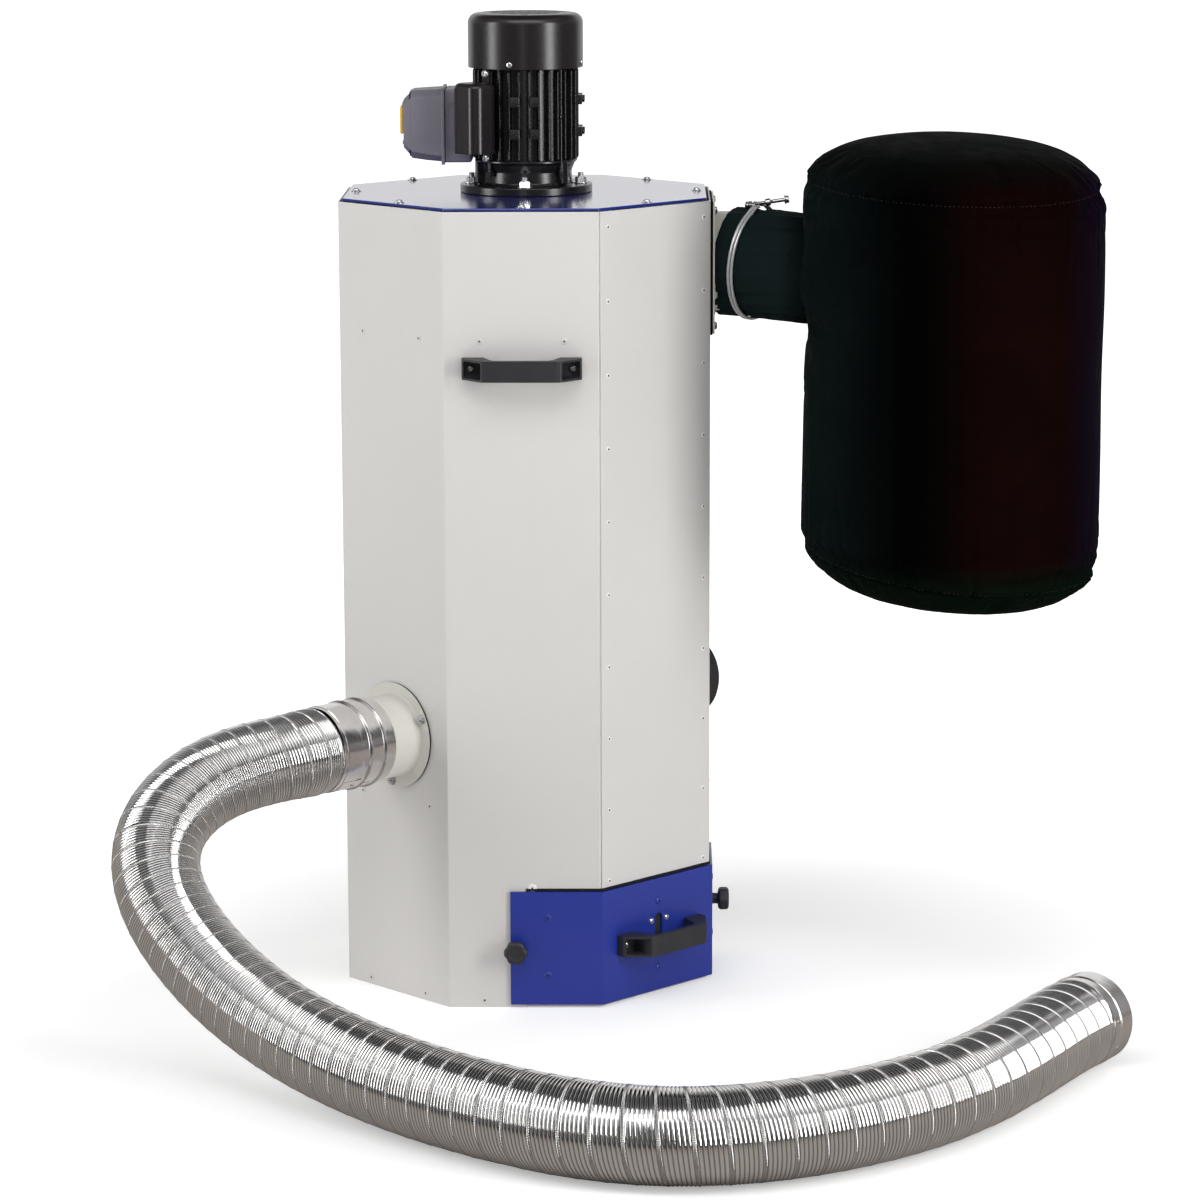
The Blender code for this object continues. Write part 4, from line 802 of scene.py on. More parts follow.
def wall_sheet(name, faces):
    """Three faces bent from one sheet, with a stepped-in lip at each end."""
    first, last = faces[0], faces[-1]
    lip_x = FACE_W / 2 - LIP

    def run(depth):
        wall, lip = APOTHEM - depth, APOTHEM - LAP - depth
        return [on_face(first - 45, lip, lip_x), crossing(first - 45, lip, first, wall),
                *(crossing(a, wall, b, wall) for a, b in zip(faces, faces[1:])),
                crossing(last, wall, last + 45, lip), on_face(last + 45, lip, -lip_x)]

    outer_radii = [0.0002, 0.0016, 0.0042, 0.0042, 0.0016, 0.0002]
    inner_radii = [0.0002, 0.0004, 0.0022, 0.0022, 0.0004, 0.0002]
    outline = fillet(run(0.0) + run(SHEET)[::-1], outer_radii + inner_radii[::-1], 5)
    return prism(name, outline, 0.0, CABINET_H, GREY, sharp=30)


ON_FRONT, ON_RIGHT, ON_CORNER = (face_frame(a) for a in (FRONT, RIGHT, FRONT_RIGHT))
INLET_FRAME = face_frame(FRONT_LEFT, z=INLET_Z)
REAR_INLET_FRAME = face_frame(REAR_RIGHT, z=INLET_Z)
OUTLET_FRAME = face_frame(RIGHT, z=OUTLET_Z)

left_wall = wall_sheet("wall_front_left", [LEFT, FRONT_LEFT, FRONT + 360])
right_wall = wall_sheet("wall_rear_right", [RIGHT, REAR_RIGHT, REAR])
notch(left_wall, (BIN_CUT, -0.01, -0.06), (0.20, BIN_OPEN_Z, 0.05), ON_FRONT)
notch(right_wall, (-0.20, -0.01, -0.06), (-BIN_CUT, BIN_OPEN_Z, 0.05), ON_RIGHT)
# side slots for the knob studs
STUD_SLOT = 0.006
notch(left_wall, (-KNOB_X - STUD_SLOT, KNOB_Z - STUD_SLOT, -0.03),
      (0.03, KNOB_Z + STUD_SLOT, 0.01), ON_FRONT)
notch(right_wall, (-0.03, KNOB_Z - STUD_SLOT, -0.03),
      (KNOB_X + STUD_SLOT, KNOB_Z + STUD_SLOT, 0.01), ON_RIGHT)
hole(left_wall, INLET_R - 0.002, -0.02, 0.02, INLET_FRAME, sides=96)
hole(right_wall, INLET_R - 0.002, -0.02, 0.02, REAR_INLET_FRAME, sides=96)
hole(right_wall, OUTLET_R - 0.0018, -0.02, 0.02, OUTLET_FRAME, sides=96)
put(left_wall, "cabinet", "cabinet_grey", "shell_front_left")
put(right_wall, "cabinet", "cabinet_grey", "shell_rear_right")

PANEL_HALF = FACE_W / 2 - 0.0004
for name, face, bottom, node in (
        ("panel_diag_front", FRONT_RIGHT, BIN_OPEN_Z, "panel_front_right"),
        ("panel_diag_rear", REAR_LEFT, 0.0, "panel_rear_left")):
    put(box(name, (-PANEL_HALF, bottom, -SHEET), (PANEL_HALF, CABINET_H, 0.0), GREY,
            face_frame(face), 0.0005, 2), "cabinet", "cabinet_grey", node)


def wall_rivets():
    """Two columns on each flat panel, pairs at three heights and one large white head."""
    rivets = []
    top = 1.1750
    for face, count, low in ((FRONT_RIGHT, 10, 0.1936), (REAR_LEFT, 12, 0.0250)):
        for k in range(count):
            z = low + (top - low) * k / (count - 1)
            for x in (-0.100, 0.100):
                rivets.append(rivet(face_frame(face, z=z, x=x), radius=0.0038, height=0.0013,
                                    material=WASHER_WHITE))
    for faces, z, half in (
            ((FRONT, FRONT_LEFT, LEFT, REAR, REAR_RIGHT), 1.0090, 0.062),
            ((FRONT_LEFT, LEFT, REAR, REAR_RIGHT, RIGHT), 0.3040, 0.0755),
            ((FRONT_LEFT, LEFT, REAR, REAR_RIGHT), 0.0110, 0.062)):
        for face in faces:
            for x in (-half, half):
                rivets.append(rivet(face_frame(face, z=z, x=x)))
    rivets.append(rivet(face_frame(FRONT, z=0.0110, x=-0.062)))
    rivets.append(rivet(face_frame(RIGHT, z=0.0110, x=0.062)))
    rivets.append(rivet(face_frame(FRONT, z=0.1850, x=0.0105), radius=0.0068, height=0.0016,
                        material=WASHER_WHITE))
    return join("wall_rivets", rivets)


put(wall_rivets(), "cabinet", "cabinet_grey")


def lid_plate():
    outline = [crossing(a, LID_APOTHEM, a + 45, LID_APOTHEM) for a in FACES]
    ob = prism("lid_plate", fillet(outline, 0.004, 4), LID_Z0, LID_Z1, LID_BLUE)
    hole(ob, 0.0340, LID_Z0 - 0.01, LID_Z1 + 0.01, sides=64)
    soften(ob, 0.0011, 3)
    return ob


def lid_screws():
    parts = []
    washer = 0.0009
    for k, face in enumerate(FACES):
        frame = shift(*polar(LID_APOTHEM - 0.0135, face), LID_Z1)
        parts.append(rod("washer", 0.0076, 0, washer, ZINC, frame, sides=32, radii=0.0003,
                         steps=2))
        parts.append(pan_screw(frame @ shift(z=washer), 0.0052, 0.0036, turn=0.4 * k))
    return join("lid_screws", parts)


put(lid_plate(), "cabinet", "panel_blue", "top_plate")
put(lid_screws(), "cabinet", "zinc")

# ---------------------------------------------------------------- chip bin


def corner_outline(outer, inner, start, outer_radius, inner_radius):
    """Band round the front right corner, between two offsets from the wall."""
    def run(offset):
        dist = APOTHEM + offset
        return [on_face(FRONT, dist, start), crossing(FRONT, dist, FRONT_RIGHT, dist),
                crossing(FRONT_RIGHT, dist, RIGHT, dist), on_face(RIGHT, dist, -start)]
    return fillet(run(outer) + run(inner)[::-1],
                  [0.0008, outer_radius, outer_radius, 0.0008,
                   0.0004, inner_radius, inner_radius, 0.0004], 6)


def slot_outline(width, height, steps=14):
    """Upright slot with round ends."""
    radius = width / 2
    straight = height / 2 - radius
    return [(sign * radius * math.cos(math.pi * i / steps),
             sign * (straight + radius * math.sin(math.pi * i / steps)))
            for sign in (1, -1) for i in range(steps + 1)]


SIGHT_FRAME = face_frame(FRONT_RIGHT, z=0.1050)


def bin_face():
    outline = corner_outline(outer=BIN_PROUD, inner=BIN_PROUD - 0.0040, start=-BIN_FLAP,
                             outer_radius=0.0060, inner_radius=0.0030)
    ob = prism("bin_face", outline, BIN_Z0, BIN_Z1, BLUE, sharp=30)
    hole(ob, 0.0046, -0.01, 0.02, face_frame(FRONT, z=KNOB_Z, x=-KNOB_X), sides=32)
    hole(ob, 0.0046, -0.01, 0.02, face_frame(RIGHT, z=KNOB_Z, x=KNOB_X), sides=32)
    return carve(ob, prism("cut", slot_outline(0.0155, 0.042), -0.01, 0.02, BLUE, SIGHT_FRAME))


def bin_face_screws():
    dist = APOTHEM + BIN_PROUD
    parts = [rivet(face_frame(face, dist, z, x), 0.0062, 0.0021, BLUE)
             for face, z, x in (
                 (FRONT, 0.1396, 0.0335), (RIGHT, 0.1396, -0.0335), (FRONT, 0.0508, 0.0335),
                 (RIGHT, 0.0508, -0.0335), (FRONT_RIGHT, 0.1450, 0.0),
                 (FRONT_RIGHT, 0.0400, 0.0))]
    for x in (-0.0160, 0.0160):
        parts.append(pan_screw(face_frame(FRONT_RIGHT, dist, 0.1165, x), 0.0046, 0.0034,
                               BRIGHT_BOLT))
    return join("bin_face_screws", parts)


put(bin_face(), "bin", "panel_blue", "bin_front")
# dark box behind the slot, painted shade of the bin's inside
put(box("bin_sight_window", (-0.0115, -0.0260, -0.0004), (0.0115, 0.0260, 0.0008), PAINTED_SHADE,
        SIGHT_FRAME, 0.0003, 2), "bin", "black_plastic")
put(bin_face_screws(), "bin", "panel_blue")
seal_outline = corner_outline(outer=0.0016, inner=-0.0110, start=BIN_CUT + 0.0006,
                              outer_radius=0.0040, inner_radius=0.002)
put(prism("bin_seal", seal_outline, BIN_Z1 + 0.0005, BIN_OPEN_Z - 0.0002, FOAM, sharp=30),
    "cabinet", "foam_black", "bin_gasket")

# ---------------------------------------------------------------- handles and knobs


def handle(name, frame):
    """Bow handle: hollow sloping end blocks and a flat bar in one piece."""
    half = 0.0155
    # x along the face, height off it, corner radius
    outline = [(-0.0880, 0.0, 0.001), (-0.0880, 0.0130, 0.010), (-0.0580, 0.0450, 0.006),
               (-0.0500, 0.0465, 0.006), (0.0500, 0.0465, 0.006), (0.0580, 0.0450, 0.006),
               (0.0880, 0.0130, 0.010), (0.0880, 0.0, 0.001), (0.0560, 0.0, 0.001),
               (0.0460, 0.0300, 0.004), (0.0400, 0.0365, 0.006), (-0.0400, 0.0365, 0.006),
               (-0.0460, 0.0300, 0.004), (-0.0560, 0.0, 0.001)]
    ob = prism(name, fillet([row[:2] for row in outline], [row[2] for row in outline], 6),
               -half, half, PLASTIC, frame @ axes(X_AXIS, Z_AXIS, Y_AXIS))
    for sign in (-1, 1):
        x0, x1 = sorted((sign * 0.0850, sign * 0.0590))
        carve(ob, box("cut", (x0, -0.0122, 0.0060), (x1, 0.0122, 0.08), PLASTIC, frame,
                      0.0015, 2))
        hole(ob, 0.0030, -0.01, 0.02, frame, sides=20, x=sign * HANDLE_SCREW_X)
    soften(ob, 0.0011, 3, 38)
    return ob


DOOR_HANDLE = face_frame(FRONT, dist=APOTHEM + 0.0004, z=HANDLE_Z)
BIN_HANDLE = face_frame(FRONT_RIGHT, dist=APOTHEM + BIN_PROUD + 0.0004, z=0.0920)
put(handle("door_handle", DOOR_HANDLE), "cabinet", "black_plastic", "front_handle")
put(handle("bin_pull", BIN_HANDLE), "bin", "black_plastic", "bin_handle")
for side, sign in (("left", -1), ("right", 1)):
    for frame, body, name, node, turn in (
            (DOOR_HANDLE, "cabinet", "door_handle", "front_handle", 0.5 * sign + 0.3),
            (BIN_HANDLE, "bin", "bin_pull", "bin_handle", 0.8 * sign)):
        put(pan_screw(frame @ shift(sign * HANDLE_SCREW_X, 0, 0.0062), 0.0050, 0.0032,
                      turn=turn, name=name + "_screw_" + side),
            body, "zinc", node + "_screw_" + side)


def knob(name, frame):
    """Six-lobed knob on a stud."""
    def lobes(radius, z, angle):
        if radius < 0.0095:
            return radius
        depth = min(1.0, (radius - 0.0095) / 0.0070)
        crest = 0.5 + 0.5 * math.cos(6 * angle)
        return radius - depth * 0.0020 * (1 - crest) ** 1.6

    # radius, z
    grip = revolve("grip", [
        (0, BIN_PROUD + 0.0006), (0.0086, BIN_PROUD + 0.0006), (0.0082, 0.0150),
        (0.0150, 0.0160), (0.0178, 0.0190), (0.0180, 0.0240), (0.0176, 0.0300),
        (0.0145, 0.0325), (0.0100, 0.0328), (0.0092, 0.0322), (0, 0.0322)],
        PLASTIC, frame, sides=120, radii=0.0014, warp=lobes)
    stud = revolve("stud", [(0, -0.0105), (0.0034, -0.0105), (0.0040, -0.0098),
                            (0.0040, BIN_PROUD + 0.001), (0, BIN_PROUD + 0.001)],
                   ZINC, frame, sides=32)
    return join(name, [grip, stud])


put(knob("clamp_knob_left", face_frame(FRONT, z=KNOB_Z, x=-KNOB_X)), "knob_l",
    "black_plastic", "knob_left")
put(knob("clamp_knob_right", face_frame(RIGHT, z=KNOB_Z, x=KNOB_X)), "knob_r",
    "black_plastic", "knob_right")

# ---------------------------------------------------------------- inlets
INLET_BORE = INLET_R - 0.0018


def inlet(name, frame, length):
    return revolve(name, [
        (INLET_BORE, 0.0028), (INLET_FLANGE_R, 0.0028), (INLET_FLANGE_R, 0.0042),
        (INLET_R + 0.0005, 0.0042), (INLET_R, 0.0100), (INLET_R, length),
        (INLET_BORE, length)], CREAM, frame, sides=128,
        radii=[0.0004, 0.0005, 0.0006, 0.0060, 0.0040, 0.0006, 0.0006], steps=5)


def inlet_bolt(name, frame, i):
    """One of three bolts spaced evenly round a flange."""
    return hex_bolt(name, frame @ shift(*polar(0.0710, 27 + 120 * i), 0.0042), radius=0.0060,
                    height=0.0042, washer=0.0078, turn=0.4 * i, stud=0.003,
                    stud_radius=0.0028)


for name, frame in (("suction_gasket", INLET_FRAME),
                    ("rear_suction_gasket", REAR_INLET_FRAME)):
    rim = INLET_FLANGE_R - 0.0003
    put(revolve(name, [(INLET_BORE, 0.0003), (rim, 0.0003), (rim, 0.0027),
                       (INLET_BORE, 0.0027)], FOAM, frame, sides=128, radii=0.0004, steps=2),
        "cabinet", "foam_black")
put(inlet("suction_flange", INLET_FRAME, 0.0950), "cabinet", "flange_cream", "inlet_flange")
put(inlet("rear_suction_flange", REAR_INLET_FRAME, 0.0740), "cabinet", "flange_cream",
    "rear_inlet_flange")
for i in range(3):
    put(inlet_bolt("suction_flange_bolt_%d" % (i + 1), INLET_FRAME, i), "cabinet", "zinc",
        "inlet_bolt_%d" % (i + 1))
put(join("rear_flange_bolts", [inlet_bolt("bolt", REAR_INLET_FRAME, i) for i in range(3)]),
    "cabinet", "zinc")
# cap over the rear inlet, with a recessed end
put(revolve("rear_cap_shell", [
    (0, 0.0745), (INLET_R - 0.004, 0.0745), (SLIP_R, 0.0745), (SLIP_R, 0.0560),
    (SLIP_R + 0.0040, 0.0560), (SLIP_R + 0.0040, 0.0600), (SLIP_R + 0.0025, 0.0620),
    (SLIP_R + 0.0025, 0.0770), (SLIP_R - 0.0040, 0.0845), (SLIP_R - 0.010, 0.0845),
    (SLIP_R - 0.014, 0.0795), (0, 0.0795)], PLASTIC, REAR_INLET_FRAME, sides=128,
    radii=0.0014), "rear_cap", "black_plastic", "rear_inlet_cap")

# ---------------------------------------------------------------- hose coupler


def coupler():
    """Beaded sleeve between inlet and hose, with a lap plate, a short tab and a rivet."""
    radius, end = SLIP_R, COUPLER_Z1
    bead_h, bead_half, steps = 0.0030, 0.0032, 8
    profile = [(radius, COUPLER_Z0), (radius + 0.0016, COUPLER_Z0)]
    for offset in (0.0205, 0.0490):
        for k in range(steps + 1):
            rise = bead_h * 0.5 * (1 + math.cos(math.pi * (2 * k / steps - 1)))
            profile.append((radius + 0.0016 + rise,
                            COUPLER_Z0 + offset - bead_half + 2 * bead_half * k / steps))
    profile += [(radius + 0.0016, end - 0.0280), (radius + 0.0022, end - 0.0260),
                (radius + 0.0022, end), (radius + 0.0014, end + 0.0003),
                (radius + 0.0014, end + 0.0065), (radius, end + 0.0065)]
    angle = math.radians(-58)
    return join("coupler_sleeve", [
        revolve("sleeve", profile, ALUMINIUM, INLET_FRAME, sides=160),
        bent_patch(radius + 0.0012, INLET_FRAME, angle - 0.02, angle + 0.30, end - 0.0400,
                   end - 0.0020, thickness=0.0014),
        bent_patch(radius + 0.0010, INLET_FRAME, angle + 0.06, angle + 0.075,
                   COUPLER_Z0 + 0.0260, COUPLER_Z0 + 0.0440, thickness=0.0012),
        rivet_on_tube(INLET_FRAME, radius + 0.0026, angle + 0.14, end - 0.0240, 0.0034,
                      0.0014)])


put(coupler(), "hose", "aluminium", "hose_coupler")

# ---------------------------------------------------------------- suction hose
LEAD = 0.030                    # straight tail inside the coupler
COLLAR_L = 0.052
COLLAR_R = 0.0650
FLEX_HALF = 0.075               # half length of the stretch round the pivot
ROWS_PER_TURN = 72
RIDGES = 6                      # ridges per turn of the strip
SEAM_W = 1.0 / 7.0              # share of the pitch taken by the lock seam
GROOVE = 0.0015


def bspline(points, count):
    """Points of a clamped cubic B-spline, by de Boor's rule."""
    points = [Vector(p) for p in points]
    spans = len(points) - 3
    knots = [0.0] * 3 + [i / spans for i in range(spans + 1)] + [1.0] * 3
    curve = []
    for step in range(count + 1):
        t = min(step / count, 1 - 1e-9)
        k = max(i for i in range(len(knots) - 1) if knots[i] <= t and knots[i] < knots[i + 1])
        local = [points[j + k - 3].copy() for j in range(4)]
        for r in range(1, 4):
            for j in range(3, r - 1, -1):
                low, high = knots[j + k - 3], knots[j + 1 + k - r]
                share = (t - low) / (high - low)
                local[j] = local[j - 1] * (1 - share) + local[j] * share
        curve.append(local[3])
    return curve


def arc_lengths(points):
    lengths = [0.0]
    for a, b in zip(points, points[1:]):
        lengths.append(lengths[-1] + (b - a).length)
    return lengths


def even(points, step):
    """The same line with evenly spaced points."""
    lengths = arc_lengths(points)
    count = max(2, round(lengths[-1] / step))
    spaced, j = [], 0
    for i in range(count + 1):
        s = lengths[-1] * i / count
        while j < len(points) - 2 and lengths[j + 1] < s:
            j += 1
        share = (s - lengths[j]) / max(1e-12, lengths[j + 1] - lengths[j])
        spaced.append(points[j].lerp(points[j + 1], min(1.0, share)))
    return spaced


def hose_path():
    """Centre line with both straight ends, full length, and point number of the collar."""
    curve = even(bspline(HOSE_POINTS, 400), 0.004)
    angle = math.radians(FRONT_LEFT)
    outward = Vector((math.cos(angle), math.sin(angle), 0))
    path = [curve[0] - outward * (LEAD * (1 - k / 8)) for k in range(8)] + curve
    lengths = arc_lengths(path)
    end = max(i for i in range(len(path)) if lengths[i] <= lengths[-1] - COLLAR_L)
    direction = (path[end] - path[end - 3]).normalized()
    path = path[:end + 1] + [path[end] + direction * 0.004 * (k + 1) for k in range(13)]
    return path, lengths[-1], end, direction


def path_axes(path):
    """Tangents along the path, and normals carried along without twist."""
    tangents = [(path[min(len(path) - 1, i + 2)] - path[max(0, i - 2)]).normalized()
                for i in range(len(path))]
    normals = [(Z_AXIS - tangents[0] * tangents[0].z).normalized()]
    for before, tangent in zip(tangents, tangents[1:]):
        normal = before.rotation_difference(tangent) @ normals[-1]
        normals.append((normal - tangent * normal.dot(tangent)).normalized())
    return tangents, normals


def as_array(vectors):
    return np.array([list(v) for v in vectors])


path, HOSE_LENGTH, collar_index, collar_direction = hose_path()
collar_origin = path[collar_index]
PATH_S = np.array(arc_lengths(path))
COLLAR_S = float(PATH_S[collar_index])
PATH = as_array(path)
PATH_TANGENTS, PATH_NORMALS = (as_array(vectors) for vectors in path_axes(path))


def hose_axes(s):
    """Centre, tangent and two cross axes at arc lengths s."""
    def sample(values):
        return np.stack([np.interp(s, PATH_S, values[:, k]) for k in range(3)], -1)
    centre, tangent, normal = sample(PATH), sample(PATH_TANGENTS), sample(PATH_NORMALS)
    tangent /= np.linalg.norm(tangent, axis=-1, keepdims=True)
    normal -= tangent * (normal * tangent).sum(-1, keepdims=True)
    normal /= np.linalg.norm(normal, axis=-1, keepdims=True)
    return centre, tangent, normal, np.cross(tangent, normal)


# turns are packed near the inlet and stretched out along the floor
TURN_S = np.linspace(0.0, float(PATH_S[-1]), 1200)
PITCH = 0.0262 + (0.0387 - 0.0262) * smooth_step(TURN_S, 0.30, 1.15)
TURNS = np.concatenate(
    [[0.0], np.cumsum(0.5 * (1 / PITCH[1:] + 1 / PITCH[:-1]) * np.diff(TURN_S))])


def row_at(s):
    """Strip row, counted from the inlet, at arc length s."""
    return int(float(np.interp(s, TURN_S, TURNS)) * ROWS_PER_TURN)


def ridge_columns():
    """Phase, depth and crimp of the points across one pitch."""
    columns = [(0.0, GROOVE, 0.0), (0.014, 0.0005, 0.0), (0.028, -0.0002, 1.0),
               (SEAM_W / 2, -0.0004, 1.0), (SEAM_W - 0.028, -0.0002, 1.0),
               (SEAM_W - 0.014, 0.0005, 0.0), (SEAM_W, GROOVE, 0.0)]
    steps = 6
    for k in range(RIDGES * steps - 1):
        ridge = (k + 1) / steps
        share = ridge - math.floor(ridge)
        depth = GROOVE * (0.5 + 0.5 * math.cos(2 * math.pi * share)) ** 1.5
        columns.append((SEAM_W + (1 - SEAM_W) * ridge / RIDGES, depth, 0.0))
    return columns + [(1.0, GROOVE, 0.0)]


PHASE, DEPTH, CRIMP = np.array(ridge_columns()).T
hose_random = np.random.default_rng(7)
DENT_S = hose_random.uniform(0.05, HOSE_LENGTH, 26)
DENT_ANGLE = hose_random.uniform(0, 2 * math.pi, 26)
DENT_DEPTH = hose_random.uniform(0.0004, 0.0012, 26)


def hose_radius(s, angle):
    radius = 0.0636 + (0.0656 - 0.0636) * smooth_step(s, 0.20, 0.85)
    in_coupler = 0.0628 + 0.0008 * smooth_step(s, LEAD + 0.001, LEAD + 0.012)
    radius = np.where(s < LEAD + 0.012, in_coupler, radius)
    # swelling just outside the coupler
    radius = radius + (0.0019 * smooth_step(s, LEAD - 0.0050, LEAD - 0.0015)
                       * (1 - smooth_step(s, LEAD + 0.012, LEAD + 0.070)))
    radius = radius - 0.0014 * smooth_step(s, COLLAR_S - 0.004, COLLAR_S + 0.001)
    for dent_s, dent_angle, depth in zip(DENT_S, DENT_ANGLE, DENT_DEPTH):
        turn = (angle - dent_angle + math.pi) % (2 * math.pi) - math.pi
        radius = radius - depth * np.exp(-((s - dent_s) / 0.030) ** 2 - (turn / 0.45) ** 2)
    return radius


def hose_piece(name, first, last):
    """Rows first to last of the helical strip."""
    rows = np.arange(first, last + 1)
    angle = (2 * math.pi * rows / ROWS_PER_TURN)[:, None] * np.ones(len(PHASE))[None, :]
    turns = (rows / ROWS_PER_TURN)[:, None] + PHASE[None, :]
    s = np.clip(np.interp(turns, TURNS, TURN_S), 0, PATH_S[-1])
    centre, _, normal, side = hose_axes(s)
    radius = hose_radius(s, angle) - DEPTH[None, :]
    points = centre + (normal * np.cos(angle)[..., None]
                       + side * np.sin(angle)[..., None]) * radius[..., None]
    ob = raw_object(name, points.reshape(-1, 3).tolist(),
                    grid_faces(len(rows), len(PHASE), False, False), [FOIL])
    for key, values in (("crimp", CRIMP), ("groove", np.clip(DEPTH / GROOVE, 0, 1)),
                        ("turn", angle % (2 * math.pi * 1000))):
        attribute = ob.data.attributes.new(key, "FLOAT", "POINT")
        attribute.data.foreach_set(
            "value", np.broadcast_to(values, angle.shape).astype(np.float32).ravel())
    with edit(ob) as bm:
        bmesh.ops.remove_doubles(bm, verts=bm.verts, dist=2e-6)
        bmesh.ops.recalc_face_normals(bm, faces=bm.faces)
    # an open strip may come out facing the centre line
    polygon = ob.data.polygons[len(ob.data.polygons) // 2]
    middle = np.array(polygon.center)
    nearest = int(np.argmin(((PATH - middle) ** 2).sum(1)))
    if (np.array(polygon.normal) @ (middle - PATH[nearest])) < 0:
        ob.data.flip_normals()
    ob.data.shade_smooth()
    return ob


def hose():
    """Three pieces before the stretch round the pivot, that stretch itself, and two after it."""
    to_pivot = ((PATH[:, :2] - np.array(HOSE_PIVOT)) ** 2).sum(1)
    pivot_s = float(PATH_S[int(np.argmin(to_pivot))])
    flex_start = row_at(pivot_s - FLEX_HALF - 0.044)
    flex_end = row_at(pivot_s + FLEX_HALF + 0.004)
    end = row_at(COLLAR_S + 0.020)
    cuts = [0, int(flex_start * 0.34), int(flex_start * 0.67), flex_start]
    for i in range(3):
        put(hose_piece("hose_run_%d" % (i + 1), cuts[i], cuts[i + 1]), "hose", "aluminium",
            *(("hose_near",) if i == 0 else ()))
    flex = hose_piece("hose_flex", flex_start, flex_end)
    tail = (flex_end + end) // 2
    put(hose_piece("hose_tail_1", flex_end, tail), "hose_end", "aluminium", "hose_far")
    put(hose_piece("hose_tail_2", tail, end), "hose_end", "aluminium")
    centre, tangent, _, _ = hose_axes(np.array([pivot_s]))
    centre, tangent = Vector(centre[0]), Vector(tangent[0])
    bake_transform(flex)


def hose_collar():
    """Plain end collar with a bead, a lap plate and a rivet."""
    frame = axis_frame(collar_origin, collar_direction)
    profile = [(COLLAR_R - 0.0008, 0.0006), (COLLAR_R, 0.0006)]
    for k in range(9):
        profile.append((COLLAR_R + 0.0007 * (1 - math.cos(2 * math.pi * k / 8)),
                        0.0170 + 0.0040 * k / 8))
    profile += [(COLLAR_R, COLLAR_L), (COLLAR_R - 0.0008, COLLAR_L)]
    angle = math.radians(205)
    return join("hose_mouth_collar", [
        revolve("collar", profile, ALUMINIUM, frame, sides=160),
        bent_patch(COLLAR_R - 0.0002, frame, angle, angle + 0.55, 0.0012, COLLAR_L - 0.0008,
                   thickness=0.0009, steps=20),
        rivet_on_tube(frame, COLLAR_R + 0.0002, math.radians(170), 0.0110, 0.0030, 0.0012)])


hose()
put(hose_collar(), "hose_end", "aluminium", "hose_end_collar")

# ---------------------------------------------------------------- outlet duct
NECK_DIR = Vector((math.cos(math.radians(NECK_DEG)), math.sin(math.radians(NECK_DEG)), 0))
NECK = Vector((0.3280, -0.0093, OUTLET_Z))      # end of the elbow's bend
NECK_TO_BAG = math.hypot(BAG_X - NECK.x, BAG_Y - NECK.y)
TO_BAG = (Vector((BAG_X, BAG_Y, OUTLET_Z)) - NECK).normalized()
BESIDE = Vector((-TO_BAG.y, TO_BAG.x, 0))
PLATE_OUT0, PLATE_T = 0.0040, 0.0028


def upright_ring(radius, centre, degrees, sides=128):
    """Ring whose axis lies level at the given heading."""
    angle = math.radians(degrees)
    side = Vector((-math.sin(angle), math.cos(angle), 0))
    return [centre + side * (radius * math.cos(2 * math.pi * i / sides))
            + Z_AXIS * (radius * math.sin(2 * math.pi * i / sides)) for i in range(sides)]


def outlet_duct():
    """Square plate and a short elbow turning towards the bag."""
    square = [(x * OUTLET_HALF, y * OUTLET_HALF)
              for x, y in ((-1, -1), (1, -1), (1, 1), (-1, 1))]
    plate = prism("plate", fillet(square, 0.012, 8), PLATE_OUT0, PLATE_OUT0 + PLATE_T, CREAM,
                  OUTLET_FRAME)
    soften(plate, 0.0006, 2)
    hole(plate, OUTLET_R - 0.0016, -0.01, 0.02, OUTLET_FRAME, sides=128)
    # x, y and heading of the stations along the bend
    stations = np.array([
        (APOTHEM + PLATE_OUT0 + 0.0006, 0.0, 0.0), (0.2890, 0.0, 0.0), (0.2925, 0.0, -5.0),
        (0.3018, -0.0002, -10.0), (0.3152, -0.0036, -20.0), (0.3280, -0.0093, NECK_DEG)])
    wall = 0.0018
    outer, inner = [], []
    for k in range(19):
        x, y, heading = (float(np.interp(5.0 * k / 18, range(6), column))
                         for column in stations.T)
        centre = Vector((x, y, OUTLET_Z))
        flare = 0.0026 * max(0.0, 1 - k / 2.5) ** 2
        outer.append(upright_ring(OUTLET_R + flare, centre, heading))
        inner.append(upright_ring(OUTLET_R - wall, centre, heading))
    # straight end: distance past the bend, and thinning at the lip
    for along, thin in ((0.014, 0.0), (0.030, 0.0), (0.0432, 0.0), (0.0440, 0.0004)):
        centre = NECK + NECK_DIR * along
        outer.append(upright_ring(OUTLET_R - thin, centre, NECK_DEG))
        inner.append(upright_ring(OUTLET_R - wall + thin, centre, NECK_DEG))
    elbow = loft("elbow", outer + inner[::-1], CREAM, closed=True)
    return join("outlet_duct", [plate, elbow])


def outlet_plate_screws():
    dist = APOTHEM + PLATE_OUT0 + PLATE_T + 0.00005
    corners = ((1, 1), (-1, 1), (-1, -1), (1, -1))
    return join("outlet_plate_screws", [
        pan_screw(face_frame(RIGHT, dist=dist, z=OUTLET_Z + y * 0.087, x=x * 0.087), 0.0058,
                  0.0040, turn=0.4 + 0.9 * k) for k, (x, y) in enumerate(corners)])


put(outlet_duct(), "cabinet", "galvanised", "outlet_flange")
put(outlet_plate_screws(), "cabinet", "zinc")

# ---------------------------------------------------------------- hose clamp on the bag neck
CLAMP_R = SLEEVE_R + 0.0013
CLAMP_FRAME = axes(BESIDE, Z_AXIS, TO_BAG, NECK + TO_BAG * 0.0210)


